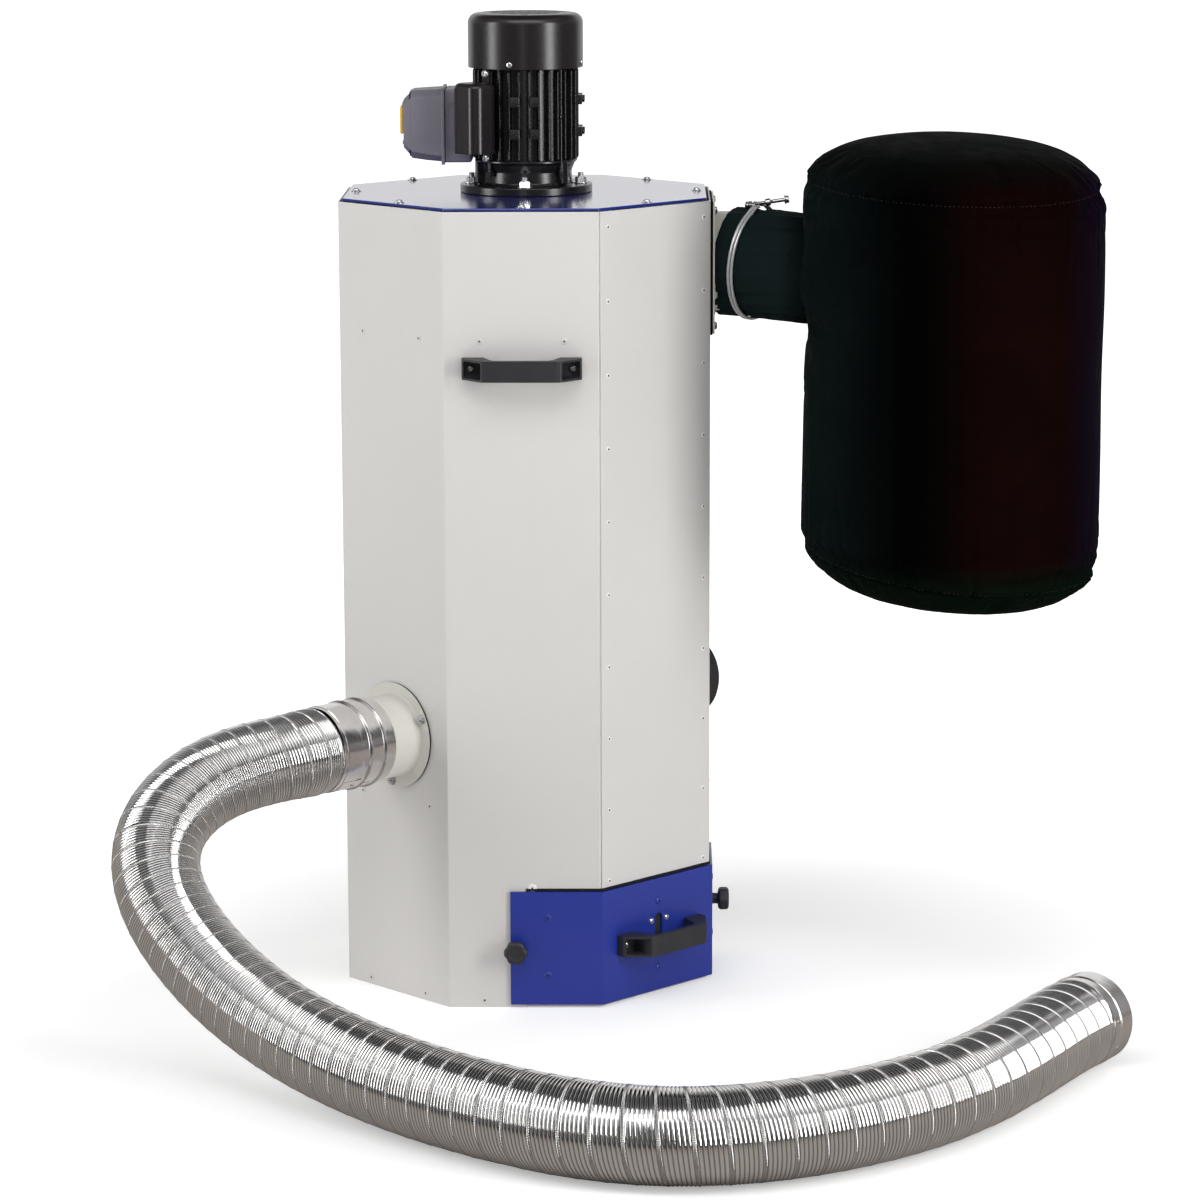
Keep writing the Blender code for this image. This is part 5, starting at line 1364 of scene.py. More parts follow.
def clamp_band():
    """Two wire loops on a slight tilt, with two cross bars and a plate on top."""
    tilt = math.radians(4.0)
    wire_frame = axes(BESIDE, Z_AXIS * math.cos(tilt) + TO_BAG * math.sin(tilt),
                      TO_BAG * math.cos(tilt) - Z_AXIS * math.sin(tilt),
                      NECK + TO_BAG * 0.0240)
    parts = []
    for z in (-0.0028, 0.0028):
        points = []
        for i in range(150):
            angle = math.radians(90) + math.radians(7 + 346 * i / 149)
            # both ends lift away from the sleeve
            lift = float(0.0048 * smooth_step(abs(i - 74.5), 66, 74.5))
            radius = CLAMP_R + 0.0014 + lift
            points.append(wire_frame @ Vector((radius * math.cos(angle),
                                               radius * math.sin(angle), z)))
        parts.append(tube("wire", points, 0.0023, CLAMP_BRIGHT, sides=12,
                          ripple=lambda i, a: 0.0023 + 0.00012 * math.sin(3 * a + i * 1.9)))
    for x in (-0.0120, 0.0105):
        parts.append(revolve("bar", [(0, -0.0078), (0.0034, -0.0078), (0.0036, -0.0070),
                                     (0.0036, 0.0070), (0.0034, 0.0078), (0, 0.0078)], ZINC,
                             CLAMP_FRAME @ shift(x, CLAMP_R + 0.0062, 0.0), sides=28,
                             radii=0.0004, steps=2))
    parts.append(box("plate", (-0.0085, CLAMP_R + 0.0004, -0.0060),
                     (0.0070, CLAMP_R + 0.0016, 0.0060), ZINC, CLAMP_FRAME, bevel=0.0004))
    return join("neck_clamp_wires", parts)


def clamp_screw_frame():
    """Local z along the screw, which points mostly along +x."""
    along = Vector((math.cos(math.radians(6)), -0.10, math.sin(math.radians(9)))).normalized()
    x_axis = along.cross(Z_AXIS).normalized()
    return axes(x_axis, along.cross(x_axis), along,
                CLAMP_FRAME @ Vector((-0.004, CLAMP_R + 0.0068, 0.0)))


SCREW_FRAME = clamp_screw_frame()


def clamp_carriage():
    """Two collars that the screw runs through."""
    # profile of the collar (radius, z), start and end of its bore
    collars = (
        ([(0.0, -0.0120), (0.0052, -0.0120), (0.0056, -0.0112), (0.0056, -0.0030),
          (0.0046, -0.0020), (0.0, -0.0020)], -0.02, 0.01),
        ([(0.0, 0.0180), (0.0050, 0.0180), (0.0056, 0.0188), (0.0056, 0.0250),
          (0.0048, 0.0258), (0.0, 0.0258)], 0.01, 0.03))
    return join("neck_clamp_carriage", [
        carve(revolve("collar", profile, ZINC, SCREW_FRAME, sides=30),
              rod("cut", 0.0036, z0, z1, ZINC, SCREW_FRAME, sides=24))
        for profile, z0, z1 in collars])


def clamp_screw():
    """Threaded rod with a slotted head."""
    profile = [(0, -0.0138)]
    threads = 34
    for k in range(threads):
        z = -0.0136 + 0.0440 * k / threads
        profile += [(0.0027, z), (0.0031, z + 0.0220 / threads)]
    profile += [(0.0030, 0.0310), (0.0030, 0.0462), (0.0050, 0.0466), (0.0068, 0.0476),
                (0.0068, 0.0490), (0.0056, 0.0498), (0.0056, 0.0534), (0.0050, 0.0540),
                (0.0, 0.0540)]
    ob = revolve("neck_clamp_screw", profile, ZINC, SCREW_FRAME, sides=32)
    notch(ob, (-0.008, -0.0007, 0.0520), (0.008, 0.0007, 0.0560), SCREW_FRAME)
    return ob


put(clamp_band(), "bag", "zinc", "clamp_band")
put(clamp_carriage(), "bag", "zinc")
put(clamp_screw(), "clamp_screw_body", "zinc", "clamp_screw")

# ---------------------------------------------------------------- motor
DIAGONALS = (45, 135, 225, 315)


def fin_outline():
    """Round-tipped fins in plan, with bare strips on the diagonals for the tie rods."""
    fins = 32
    points = []
    for i in range(fins):
        angle = 360.0 * (i + 0.46) / fins
        if min(abs((angle - d + 180) % 360 - 180) for d in DIAGONALS) < 4.2:
            points += [polar(0.0716, angle + turn) for turn in (-2.4, 0.0, 2.4)]
            continue
        points += [polar(0.0704, angle - 3.6), polar(0.0708, angle - 1.90)]
        for k in range(7):
            tip = math.radians(-90 + 180 * k / 6)
            points.append(polar(0.0790 + 0.0010 * math.cos(tip),
                                angle + 1.05 * math.sin(tip)))
        points += [polar(0.0708, angle + 1.90), polar(0.0704, angle + 3.6)]
    return points


def motor_fins():
    outline = fin_outline()

    def ring(z, shrink=0.0, bore=None):
        points = []
        for x, y in outline:
            radius = math.hypot(x, y)
            scale = (bore or min(radius, FRAME_R - shrink)) / radius
            points.append(Vector((x * scale, y * scale, z)))
        return points

    return loft("motor_fins", [
        ring(FINS_Z0, 0.0026), ring(FINS_Z0 + 0.0020, 0.0004), ring(FINS_Z0 + 0.0034),
        ring(FINS_Z1 - 0.0034), ring(FINS_Z1 - 0.0020, 0.0004), ring(FINS_Z1, 0.0026),
        ring(FINS_Z1, bore=0.0668), ring(FINS_Z0, bore=0.0668)], CAST_BLACK, closed=True,
        sharp=40)


def motor_tie_rods():
    parts = []
    for angle in DIAGONALS:
        frame = shift(*polar(0.0762, angle), 0)
        parts.append(rod("rod", 0.0022, 1.2300, 1.3990, CAST_BLACK, frame, sides=18))
        parts.append(rod("nut", 0.0042, 1.2290, 1.2360, CAST_BLACK, frame, sides=6,
                         radii=0.0005, steps=2, sharp=20))
        parts.append(pan_screw(face_frame(angle, dist=0.0768, z=1.3180), 0.0038, 0.0026,
                               CAST_BLACK, turn=0.2))
    return join("motor_tie_rods", parts)


def frame_boss(face, x, z, dist):
    """Square boss on the motor frame, and its socket screw."""
    root, half_width, half_height = 0.0700, 0.0076, 0.0074
    block = box("boss", (-half_width, -half_height, 0),
                (half_width, half_height, dist - root), CAST_BLACK,
                face_frame(face, dist=root, z=z, x=x), bevel=0.0012)
    frame = face_frame(face, dist=dist, z=z, x=x)
    head = rod("head", 0.0044, -0.0005, 0.0034, CAST_BLACK, frame, sides=32, radii=0.0005,
               steps=3)
    socket = prism("cut", circle(0.0022, 6), 0.0012, 0.0060, CAST_BLACK, frame)
    return block, carve(head, socket)


def drive_shield():
    """Round flange and the end shield above it, with four lugs."""
    # radius, z, corner radius
    profile = [
        (0.0125, FLANGE_Z0, 0.0002), (0.1000, FLANGE_Z0, 0.0012),
        (0.1000, FLANGE_Z1, 0.0018), (0.0728, FLANGE_Z1, 0.0030),
        (0.0700, FLANGE_Z1 + 0.0040, 0.0030), (0.0690, FLANGE_Z1 + 0.0200, 0.0060),
        (0.0740, FINS_Z0 - 0.0060, 0.0030), (0.0775, FINS_Z0 - 0.0034, 0.0008),
        (0.0775, FINS_Z0 - 0.0004, 0.0008), (0.0600, FINS_Z0 - 0.0004, 0.0005),
        (0.0560, FLANGE_Z1 + 0.010, 0.0005), (0.0300, FLANGE_Z1 + 0.008, 0.0005),
        (0.0300, 1.2400, 0.0005), (0.0239, 1.2400, 0.0005), (0.0239, 1.2246, 0.0005),
        (0.0125, 1.2246, 0.0005)]
    ob = revolve("motor_drive_shield", [row[:2] for row in profile], CAST_BLACK, sides=160,
                 radii=[row[2] for row in profile])
    for degrees in (-40, 50, 140, 195):
        x, y = polar(1.0, degrees)
        frame = axes(Vector((x, y, 0)), Vector((-y, x, 0)), Z_AXIS)
        lug = box("lug", (0.0600, -0.0075, FLANGE_Z1 + 0.0010),
                  (0.0785, 0.0075, FINS_Z0 - 0.0006), CAST_BLACK, frame, bevel=0.0030)
        carve(ob, lug, "UNION")
    return ob


put(motor_fins(), "cabinet", "motor_black", "motor_frame")
put(motor_tie_rods(), "cabinet", "motor_black")
bosses, socket_screws = zip(*(
    frame_boss(face, x, z, dist) for z in (1.3420, 1.2940) for x in (-0.0155, 0.0160)
    for face, dist in ((FRONT, 0.0848), (RIGHT, 0.0856), (REAR, 0.0848))))
put(join("motor_frame_bosses", bosses), "cabinet", "motor_black")
put(join("motor_socket_screws", socket_screws), "cabinet", "motor_black")
put(drive_shield(), "cabinet", "motor_black", "motor_flange")
for k in range(4):
    x, y = polar(MOTOR_BOLT_CIRCLE / 2, -90 + 90 * k)
    put(hex_bolt("flange_nut_%d" % (k + 1), shift(x, y, FLANGE_Z1 + 0.0002), radius=0.0088,
                 height=0.0084, washer=0.0112, turn=0.52 + 0.5 * k, stud=0.0068,
                 stud_radius=0.0046, material=BRIGHT_BOLT),
        "cabinet", "zinc", "motor_bolt_%d" % (k + 1))

# ---------------------------------------------------------------- fan cowl
COWL_Z0, COWL_Z1 = FINS_Z1 + 0.0016, COWL_TOP - 0.0006
COWL_CORNER = 0.0145
GUARD_R = 0.0634
GUARD_CELL = 0.0068             # spacing of the holes


def cowl_shell():
    """Cup, open below and above, with a rounded shoulder."""
    profile = [(COWL_R - 0.0018, COWL_Z0), (COWL_R - 0.0006, COWL_Z0),
               (COWL_R, COWL_Z0 + 0.0006), (COWL_R, COWL_Z1 - COWL_CORNER)]
    for k in range(1, 9):
        a = math.radians(90 * k / 8)
        profile.append((COWL_R - COWL_CORNER * (1 - math.cos(a)),
                        COWL_Z1 - COWL_CORNER + COWL_CORNER * math.sin(a)))
    profile += [(0.0640, COWL_Z1 + 0.0002), (0.0626, COWL_Z1), (0.0622, COWL_Z1 - 0.0010),
                (0.0626, COWL_Z1 - 0.0018)]
    inner = COWL_CORNER - 0.0012
    for k in range(8, -1, -1):
        a = math.radians(90 * k / 8)
        profile.append((COWL_R - 0.0018 - inner * (1 - math.cos(a)),
                        COWL_Z1 - COWL_CORNER - 0.0006 + inner * math.sin(a)))
    return revolve("fan_cowl_shell", profile, GLOSS_BLACK, sides=160)


def guard_z(x, y):
    return COWL_Z1 - 0.0006 + 0.0020 * (1 - (x * x + y * y) / GUARD_R ** 2)


def guard_cells():
    """Hexagonal cells with round holes; the middle cell is solid."""
    sides, hole_r = 12, 0.0026
    verts, faces = [], []
    for row in range(-11, 12):
        for column in range(-11, 12):
            centre_x = (column + 0.5 * (row % 2)) * GUARD_CELL
            centre_y = row * GUARD_CELL * math.sqrt(3) / 2
            distance = math.hypot(centre_x, centre_y)
            if distance > GUARD_R - 0.0045:
                continue
            base = len(verts)
            angles = [2 * math.pi * k / sides + math.pi / 6 for k in range(sides)]
            rim = []
            for a in angles:
                sector = (a - math.pi / 6) % (math.pi / 3)
                rim.append(GUARD_CELL / math.sqrt(3) * math.cos(math.pi / 6)
                           / math.cos(sector - math.pi / 6))
            solid_cell = distance < 0.0050
            for radii in [rim] if solid_cell else [rim, [hole_r] * sides]:
                for a, radius in zip(angles, radii):
                    x, y = centre_x + radius * math.cos(a), centre_y + radius * math.sin(a)
                    verts.append((x, y, guard_z(x, y)))
            if solid_cell:
                faces.append(range(base, base + sides))
                continue
            for k in range(sides):
                following = (k + 1) % sides
                faces.append((base + k, base + following, base + sides + following,
                              base + sides + k))
    return verts, faces


def cowl_guard():
    """Domed sheet of round holes with a solid rim."""
    points, faces = guard_cells()
    bm = bmesh.new()
    verts = [bm.verts.new(p) for p in points]
    for face in faces:
        bm.faces.new([verts[i] for i in face])
    bmesh.ops.remove_doubles(bm, verts=bm.verts, dist=1e-5)
    # outer edges lie further out than the centre of their own face
    outer = []
    for e in bm.edges:
        if len(e.link_faces) == 1 and all(v.co.xy.length > GUARD_R - 0.0125 for v in e.verts):
            middle = (e.verts[0].co + e.verts[1].co) / 2
            if middle.xy.length > e.link_faces[0].calc_center_median().xy.length:
                outer.append(e)
    rim = bmesh.ops.extrude_edge_only(bm, edges=outer)
    for v in [g for g in rim["geom"] if isinstance(g, bmesh.types.BMVert)]:
        scale = GUARD_R / v.co.xy.length
        v.co.x *= scale
        v.co.y *= scale
        v.co.z = guard_z(v.co.x, v.co.y)
    mesh = bpy.data.meshes.new("fan_cowl_guard")
    bm.to_mesh(mesh)
    bm.free()
    mesh.materials.append(GLOSS_BLACK)
    ob = link("fan_cowl_guard", mesh)
    thicken = ob.modifiers.new("s", "SOLIDIFY")
    thicken.thickness = 0.0012
    thicken.offset = -1
    bake(ob)
    tidy(ob)
    return ob


def cowl_screws():
    screws = []
    for degrees in (-104.5, -14.5, 75.5, 165.5):
        frame = axis_frame((*polar(COWL_R - 0.0001, degrees), 1.3975),
                           (*polar(1.0, degrees), 0))
        screws.append(pan_screw(frame, 0.0044, 0.0028, BRIGHT_BOLT, turn=0.7))
    return join("fan_cowl_screws", screws)


shell = cowl_shell()
put(cowl_guard(), "cabinet", "motor_black")
put(shell, "cabinet", "motor_black", "fan_cowl")
put(cowl_screws(), "cabinet", "zinc")

# ---------------------------------------------------------------- capacitor cover
CAP_OUT = Vector((*polar(1.0, FRONT_LEFT), 0))
CAP_FRAME = axes(Vector((-CAP_OUT.y, CAP_OUT.x, 0)), CAP_OUT, Z_AXIS,
                 CAP_OUT * (FRAME_R + 0.0012 + 0.0245))
CAP_Z0, CAP_Z1 = 1.2660, 1.3710


def cap_ring(half_width, radius, z, steps=12):
    """Rounded rectangle, 7 mm shallower than it is wide."""
    half_depth = half_width - 0.0035
    x, y = half_width - radius, half_depth - radius
    points = []
    for centre_x, centre_y, start in ((x, y, 0), (-x, y, 90), (-x, -y, 180), (x, -y, 270)):
        for i in range(steps + 1):
            dx, dy = polar(radius, start + 90 * i / steps)
            points.append(CAP_FRAME @ Vector((centre_x + dx, centre_y + dy, z)))
    return points


def capacitor_housing():
    """Cup open below, with a beaded mouth and a rounded crown."""
    rings = [cap_ring(0.0252, 0.0132, CAP_Z0 + 0.0004), cap_ring(0.0276, 0.0156, CAP_Z0),
             cap_ring(0.0280, 0.0160, CAP_Z0 + 0.0006),
             cap_ring(0.0280, 0.0160, CAP_Z0 + 0.0030),
             cap_ring(0.0276, 0.0157, CAP_Z0 + 0.0034),
             cap_ring(0.0276, 0.0157, CAP_Z1 - 0.0085)]
    for k in range(1, 11):
        a = math.radians(90 * k / 10)
        rings.append(cap_ring(0.0276 - 0.0095 * (1 - math.cos(a)),
                              0.0157 - 0.0085 * (1 - math.cos(a)),
                              CAP_Z1 - 0.0085 + 0.0085 * math.sin(a)))
    rings += [cap_ring(0.0172, 0.0060, CAP_Z1 - 0.0022),
              cap_ring(0.0254, 0.0134, CAP_Z1 - 0.0120)]
    count = len(rings[0])
    crown, ceiling = len(rings) - 3, len(rings) - 2
    # crown and ceiling are closed by one face each instead of joined to each other
    faces = [f for f in grid_faces(len(rings), count, True)
             if not (f[0] // count == crown and f[2] // count == ceiling)]
    faces.append(range(crown * count, (crown + 1) * count))
    faces.append(range(ceiling * count, (ceiling + 1) * count)[::-1])
    return solid("capacitor_housing", [v for ring in rings for v in ring], faces,
                 GLOSS_BLACK, sharp=40)


put(capacitor_housing(), "cabinet", "motor_black", "capacitor_cover")
tabs, screws = [], []
# height of each tab's screw, and the tab's reach below and above it
for z, low, high in ((1.3830, -0.0130, 0.0050), (1.2570, -0.0050, 0.0130)):
    outline = fillet([(-0.0075, low), (0.0075, low), (0.0075, high), (-0.0075, high)],
                     0.0022, 4)
    tabs.append(prism("tab", outline, -0.0004, 0.0012, GLOSS_BLACK,
                      face_frame(FRONT_LEFT, dist=FRAME_R + 0.0016, z=z)))
    screws.append(pan_screw(face_frame(FRONT_LEFT, dist=FRAME_R + 0.0028, z=z), 0.0062,
                            0.0038, BRIGHT_BOLT, turn=0.5))
put(join("capacitor_tabs", tabs), "cabinet", "motor_black")
put(join("capacitor_tab_screws", screws), "cabinet", "zinc")

# ---------------------------------------------------------------- switch box


def terminal_housing():
    """Box left of the motor, with shallow grooves and a ring cut in its front."""
    ob = box("housing", (-0.1215, -0.0400, 1.2490), (-0.0805, 0.0500, 1.3585), BOX_GREY,
             bevel=0.0035, steps=4)
    # x0, x1, z0, z1 of the grooves
    level = [(x0, x1, z0, z0 + 0.0012) for x0, x1 in ((-0.1150, -0.1060), (-0.0960, -0.0870))
             for z0 in (1.3360, 1.2690)]
    upright = [(x0, x0 + 0.0012, z0, z1) for x0 in (-0.1150, -0.0882)
               for z0, z1 in ((1.2690, 1.2850), (1.3210, 1.3372))]
    for x0, x1, z0, z1 in level + upright:
        notch(ob, (x0, -0.0430, z0), (x1, -0.0392, z1))
    ring = revolve("cut", [(0.0106, -0.003), (0.0120, -0.003), (0.0120, 0.0009),
                           (0.0106, 0.0009)], BOX_GREY,
                   axes(X_AXIS, Z_AXIS, Y_AXIS, Vector((-0.1012, -0.0409, 1.3030))), sides=64)
    carve(ob, ring)
    rib = box("rib", (-0.1262, -0.0440, 1.2460), (-0.1212, 0.0520, 1.3610), BOX_GREY,
              bevel=0.0012)
    return join("terminal_housing", [ob, rib])


def box_ring(x, z0, z1, y0, y1, chamfer):
    """Box section with wide chamfers along its long edges."""
    points = [(y0 + chamfer, z0), (y1 - chamfer, z0), (y1, z0 + chamfer), (y1, z1 - chamfer),
              (y1 - chamfer, z1), (y0 + chamfer, z1), (y0, z1 - chamfer), (y0, z0 + chamfer)]
    return [Vector((x, y, z)) for y, z in fillet(points, 0.0016, 3)]


def switch_housing():
    """Chamfered body, button lid and a neck between them painted dark as shade, with two button
    openings.
    """
    # x, z0, z1, y0, y1, chamfer
    stations = {
        "body": ((-0.1255, 1.2500, 1.3585, -0.0405, 0.0485, 0.0090),
                 (-0.1480, 1.2520, 1.3575, -0.0395, 0.0475, 0.0098),
                 (-0.1700, 1.2550, 1.3560, -0.0385, 0.0465, 0.0105),
                 (-0.1722, 1.2562, 1.3550, -0.0378, 0.0458, 0.0105)),
        "lid": ((-0.1715, 1.2590, 1.3530, -0.0372, 0.0452, 0.0090),
                (-0.1738, 1.2600, 1.3520, -0.0372, 0.0452, 0.0090),
                (-0.1820, 1.2700, 1.3440, -0.0372, 0.0452, 0.0060),
                (-0.1834, 1.2712, 1.3428, -0.0362, 0.0442, 0.0060)),
        "neck": ((-0.1700, 1.2580, 1.3540, -0.0366, 0.0446, 0.0095),
                 (-0.1745, 1.2580, 1.3540, -0.0366, 0.0446, 0.0095))}
    # the neck between body and lid gets painted shade
    body, lid, neck = (
        loft(name, [box_ring(*row) for row in rows], PAINTED_SHADE if name == "neck" else BOX_GREY,
             caps=True) for name, rows in stations.items())
    for y in (-0.0120, 0.0200):
        for part in (lid, neck, body):
            carve(part, box("cut", (-0.20, y - 0.0116, 1.3020), (-0.1660, y + 0.0116, 1.3240),
                            BOX_GREY))
    screws = [pan_screw(face_frame(LEFT, dist=0.1834, z=z, x=-y), 0.0032, 0.0018, BOX_GREY)
              for z in (1.2790, 1.3370) for y in (-0.0290, 0.0370)]
    return join("switch_housing", [body, neck, lid] + screws)


terminals = terminal_housing()
put(terminals, "cabinet", "box_grey", "terminal_box")
put(switch_housing(), "cabinet", "box_grey", "switch_box")

# ---------------------------------------------------------------- filter bag
SEAM_TOP, SEAM_LOW = BAG_SIDE_Z1 + 0.0155, BAG_SIDE_Z0 + 0.0120     # on the bag's axis


def seam_top(x, y):
    return SEAM_TOP - (x - BAG_X) * 0.030 + (y - BAG_Y) * 0.073


def seam_low(x, y):
    return SEAM_LOW - (x - BAG_X) * 0.090 + (y - BAG_Y) * 0.100


def drum_profile(inset):
    """Half outline: rounded floor, straight side, domed lid."""
    radius = BAG_R - inset
    low, high = BAG_Z0 + inset + 0.018, BAG_Z1 - inset - 0.012
    profile = [(0, low)]
    for i in range(1, 10):
        a = math.radians(9 * i)
        profile.append((radius * math.sin(a) ** 0.86,
                        SEAM_LOW - (SEAM_LOW - low) * math.cos(a) ** 1.15))
    for k in range(13):
        profile.append((radius, SEAM_LOW + (SEAM_TOP - SEAM_LOW) * k / 12))
    for i in range(9, 0, -1):
        a = math.radians(9 * i)
        profile.append((radius * math.sin(a) ** 0.9,
                        SEAM_TOP + (high - SEAM_TOP) * math.cos(a) ** 1.15))
    return profile + [(0, high)]


def read_vectors(mesh, key="co"):
    values = np.empty(len(mesh.vertices) * 3, np.float32)
    mesh.vertices.foreach_get(key, values)
    return values.reshape(-1, 3)


def write_points(mesh, points):
    mesh.vertices.foreach_set("co", np.asarray(points, np.float32).ravel())
    mesh.update()


def along_neck(points):
    return (points[:, 0] - NECK.x) * TO_BAG.x + (points[:, 1] - NECK.y) * TO_BAG.y


def bag_shape():
    """Drum with its sleeve, slightly under size, as one closed skin."""
    drum = revolve("drum", drum_profile(0.0050), FABRIC, shift(BAG_X, BAG_Y, 0))
    points = read_vectors(drum.data)
    # lid and floor lean with their seams
    share = smooth_step(points[:, 2], 0.95, SEAM_TOP)
    points[:, 2] += share * (-(points[:, 0] - BAG_X) * 0.030 + (points[:, 1] - BAG_Y) * 0.073)
    share = 1 - smooth_step(points[:, 2], SEAM_LOW, 0.84)
    points[:, 2] += share * (-(points[:, 0] - BAG_X) * 0.078 + (points[:, 1] - BAG_Y) * 0.040)
    drum.data.vertices.foreach_set("co", points.ravel())
    stations = (-0.055, -0.02, 0.0, 0.03, 0.06, 0.09, NECK_TO_BAG - BAG_R + 0.090)
    neck = tube("neck", [NECK + TO_BAG * s - Vector((0, 0, 0.050 * max(0.0, s - 0.03)))
                         for s in stations], SLEEVE_R, FABRIC, sides=96)
    ob = join("filter_bag_cloth", [drum, neck])
    ob.modifiers.clear()
    remesh = ob.modifiers.new("rm", "REMESH")
    remesh.mode = "VOXEL"
    remesh.voxel_size = 0.0070
    remesh.use_smooth_shade = True
    bake(ob)
    return ob


def inflate(ob):
    """Let the cloth settle under air pressure; seams and sleeve are held back."""
    with edit(ob) as bm:
        for _ in range(2):
            bmesh.ops.smooth_vert(bm, verts=bm.verts, factor=0.5, use_axis_x=True,
                                  use_axis_y=True, use_axis_z=True)
    points = read_vectors(ob.data).astype(float)
    x, y, z = points.T
    radius = np.hypot(x - BAG_X, y - BAG_Y)
    seam = (np.abs(z - seam_top(x, y)) < 0.006) | (np.abs(z - seam_low(x, y)) < 0.006)
    hold = 0.75 * (seam & (radius > BAG_R - 0.04))
    s = along_neck(points)
    on_neck = (s < NECK_TO_BAG - BAG_R - 0.012) & (radius > BAG_R + 0.004)
    hold = np.maximum(hold, on_neck * np.where(s < 0.036, 1.0, 0.55))
    group = ob.vertex_groups.new(name="hold")
    for i in np.nonzero(hold > 0)[0]:
        group.add([int(i)], float(hold[i]), "REPLACE")
    cloth = ob.modifiers.new("cloth", "CLOTH")
    settings = cloth.settings
    settings.quality = 4
    settings.mass = 0.3
    settings.tension_stiffness = 18
    settings.compression_stiffness = 18
    settings.shear_stiffness = 8
    settings.bending_stiffness = 0.6
    settings.use_pressure = True
    settings.uniform_pressure_force = 4.0
    settings.shrink_min = -0.025
    settings.effector_weights.gravity = 0.0
    settings.vertex_group_mass = "hold"
    settings.pin_stiffness = 1.0
    cloth.collision_settings.use_collision = False
    cloth.collision_settings.use_self_collision = False
    cloth.point_cache.frame_start = 1
    cloth.point_cache.frame_end = 20
    scene = bpy.context.scene
    for number in range(1, 21):
        scene.frame_set(number)
    settled = ob.evaluated_get(bpy.context.evaluated_depsgraph_get())
    move = read_vectors(settled.data).astype(float) - points
    ob.modifiers.clear()
    ob.vertex_groups.clear()
    scene.frame_set(1)
    length = np.linalg.norm(move, axis=1, keepdims=True)
    limit = 0.0110
    move *= np.where(length > limit, limit / np.maximum(length, 1e-9), 1.0)
    write_points(ob.data, points + move)


def angle_between(a, b):
    return (a - b + math.pi) % (2 * math.pi) - math.pi


def fold_depths(points):
    """Folds along both seams, drag lines and slack, as distances along the normal."""
    random = np.random.default_rng(5)
    x, y, z = points[:, 0] - BAG_X, points[:, 1] - BAG_Y, points[:, 2]
    angle = np.arctan2(y, x)
    radius = np.hypot(x, y)
    s = along_neck(points)
    sideways = (points[:, 0] - NECK.x) * BESIDE.x + (points[:, 1] - NECK.y) * BESIDE.y
    neck_angle = np.arctan2(z - OUTLET_Z, sideways)
    from_axis = np.hypot(sideways, z - OUTLET_Z)
    neck = np.clip(1 - (s - (NECK_TO_BAG - BAG_R - 0.020)) / 0.030, 0, 1)
    near_neck = (np.exp(-(np.maximum(from_axis - 0.083, 0) / 0.045) ** 2)
                 * (s < NECK_TO_BAG - 0.10))
    depths = np.zeros(len(points))

    # seam heights, direction of the end panel, number and depth of the folds
    for seam, up, count, size in (
            (seam_top(points[:, 0], points[:, 1]), 1, 92, 0.0046),
            (seam_low(points[:, 0], points[:, 1]), -1, 84, 0.0044)):
        beyond = (z - seam) * up             # + towards the end panel, - along the side
        dist = np.where(beyond > 0, np.sqrt(np.maximum(beyond, 0) ** 2
                                            + np.maximum(BAG_R - radius, 0) ** 2), -beyond)
        depths -= 0.0022 * np.exp(-(dist / 0.0045) ** 2)    # the seam itself pulls in
        for k in range(count):
            place = 2 * math.pi * (k + random.uniform(-0.38, 0.38)) / count
            width = random.uniform(0.016, 0.034)
            length = random.choice([0.016, 0.026, 0.045, 0.080], p=[0.35, 0.35, 0.2, 0.1])
            end_length = length * random.uniform(0.4, 0.9)
            depth = size * random.uniform(0.35, 1.0)
            lean = random.uniform(-0.9, 0.9)
            off = angle_between(angle, place + lean * dist * 0.9)
            fade = np.where(beyond > 0, np.exp(-(dist / end_length) ** 1.4),
                            np.exp(-(dist / length) ** 1.4))
            depths -= depth * np.exp(-(off / width) ** 2) * fade * (1 - neck)
            depths += (0.45 * depth * np.exp(-((off - 1.9 * width) / (width * 1.1)) ** 2)
                       * fade * (1 - neck))
    # drag lines fanning out from the sleeve root
    for _ in range(26):
        place = random.uniform(-math.pi, math.pi)
        width = random.uniform(0.05, 0.11)
        depths -= (0.0022 * random.uniform(0.4, 1)
                   * np.exp(-(angle_between(neck_angle, place) / width) ** 2) * near_neck)
    # soft lengthwise slack in the sleeve, tight under the clamp
    loose = 1 - np.exp(-((s - 0.024 - (z - OUTLET_Z) * 0.070) / 0.010) ** 2)
    depths += neck * loose * (0.0009 * (1 + np.sin(neck_angle * 13 + 1.3))
                              + 0.0006 * (1 + np.sin(neck_angle * 23 + s * 30)))
    depths -= neck * (1 - loose) * 0.0004
    # broad slack on the side
    slack = np.zeros(len(points))
    for _ in range(10):
        place, height = random.uniform(-math.pi, math.pi), random.uniform(0.74, 1.16)
        slack += random.uniform(-0.0022, 0.0022) * np.exp(
            -(angle_between(angle, place) / 0.22) ** 2 - ((z - height) / 0.085) ** 2)
    return depths + slack * (1 - neck)


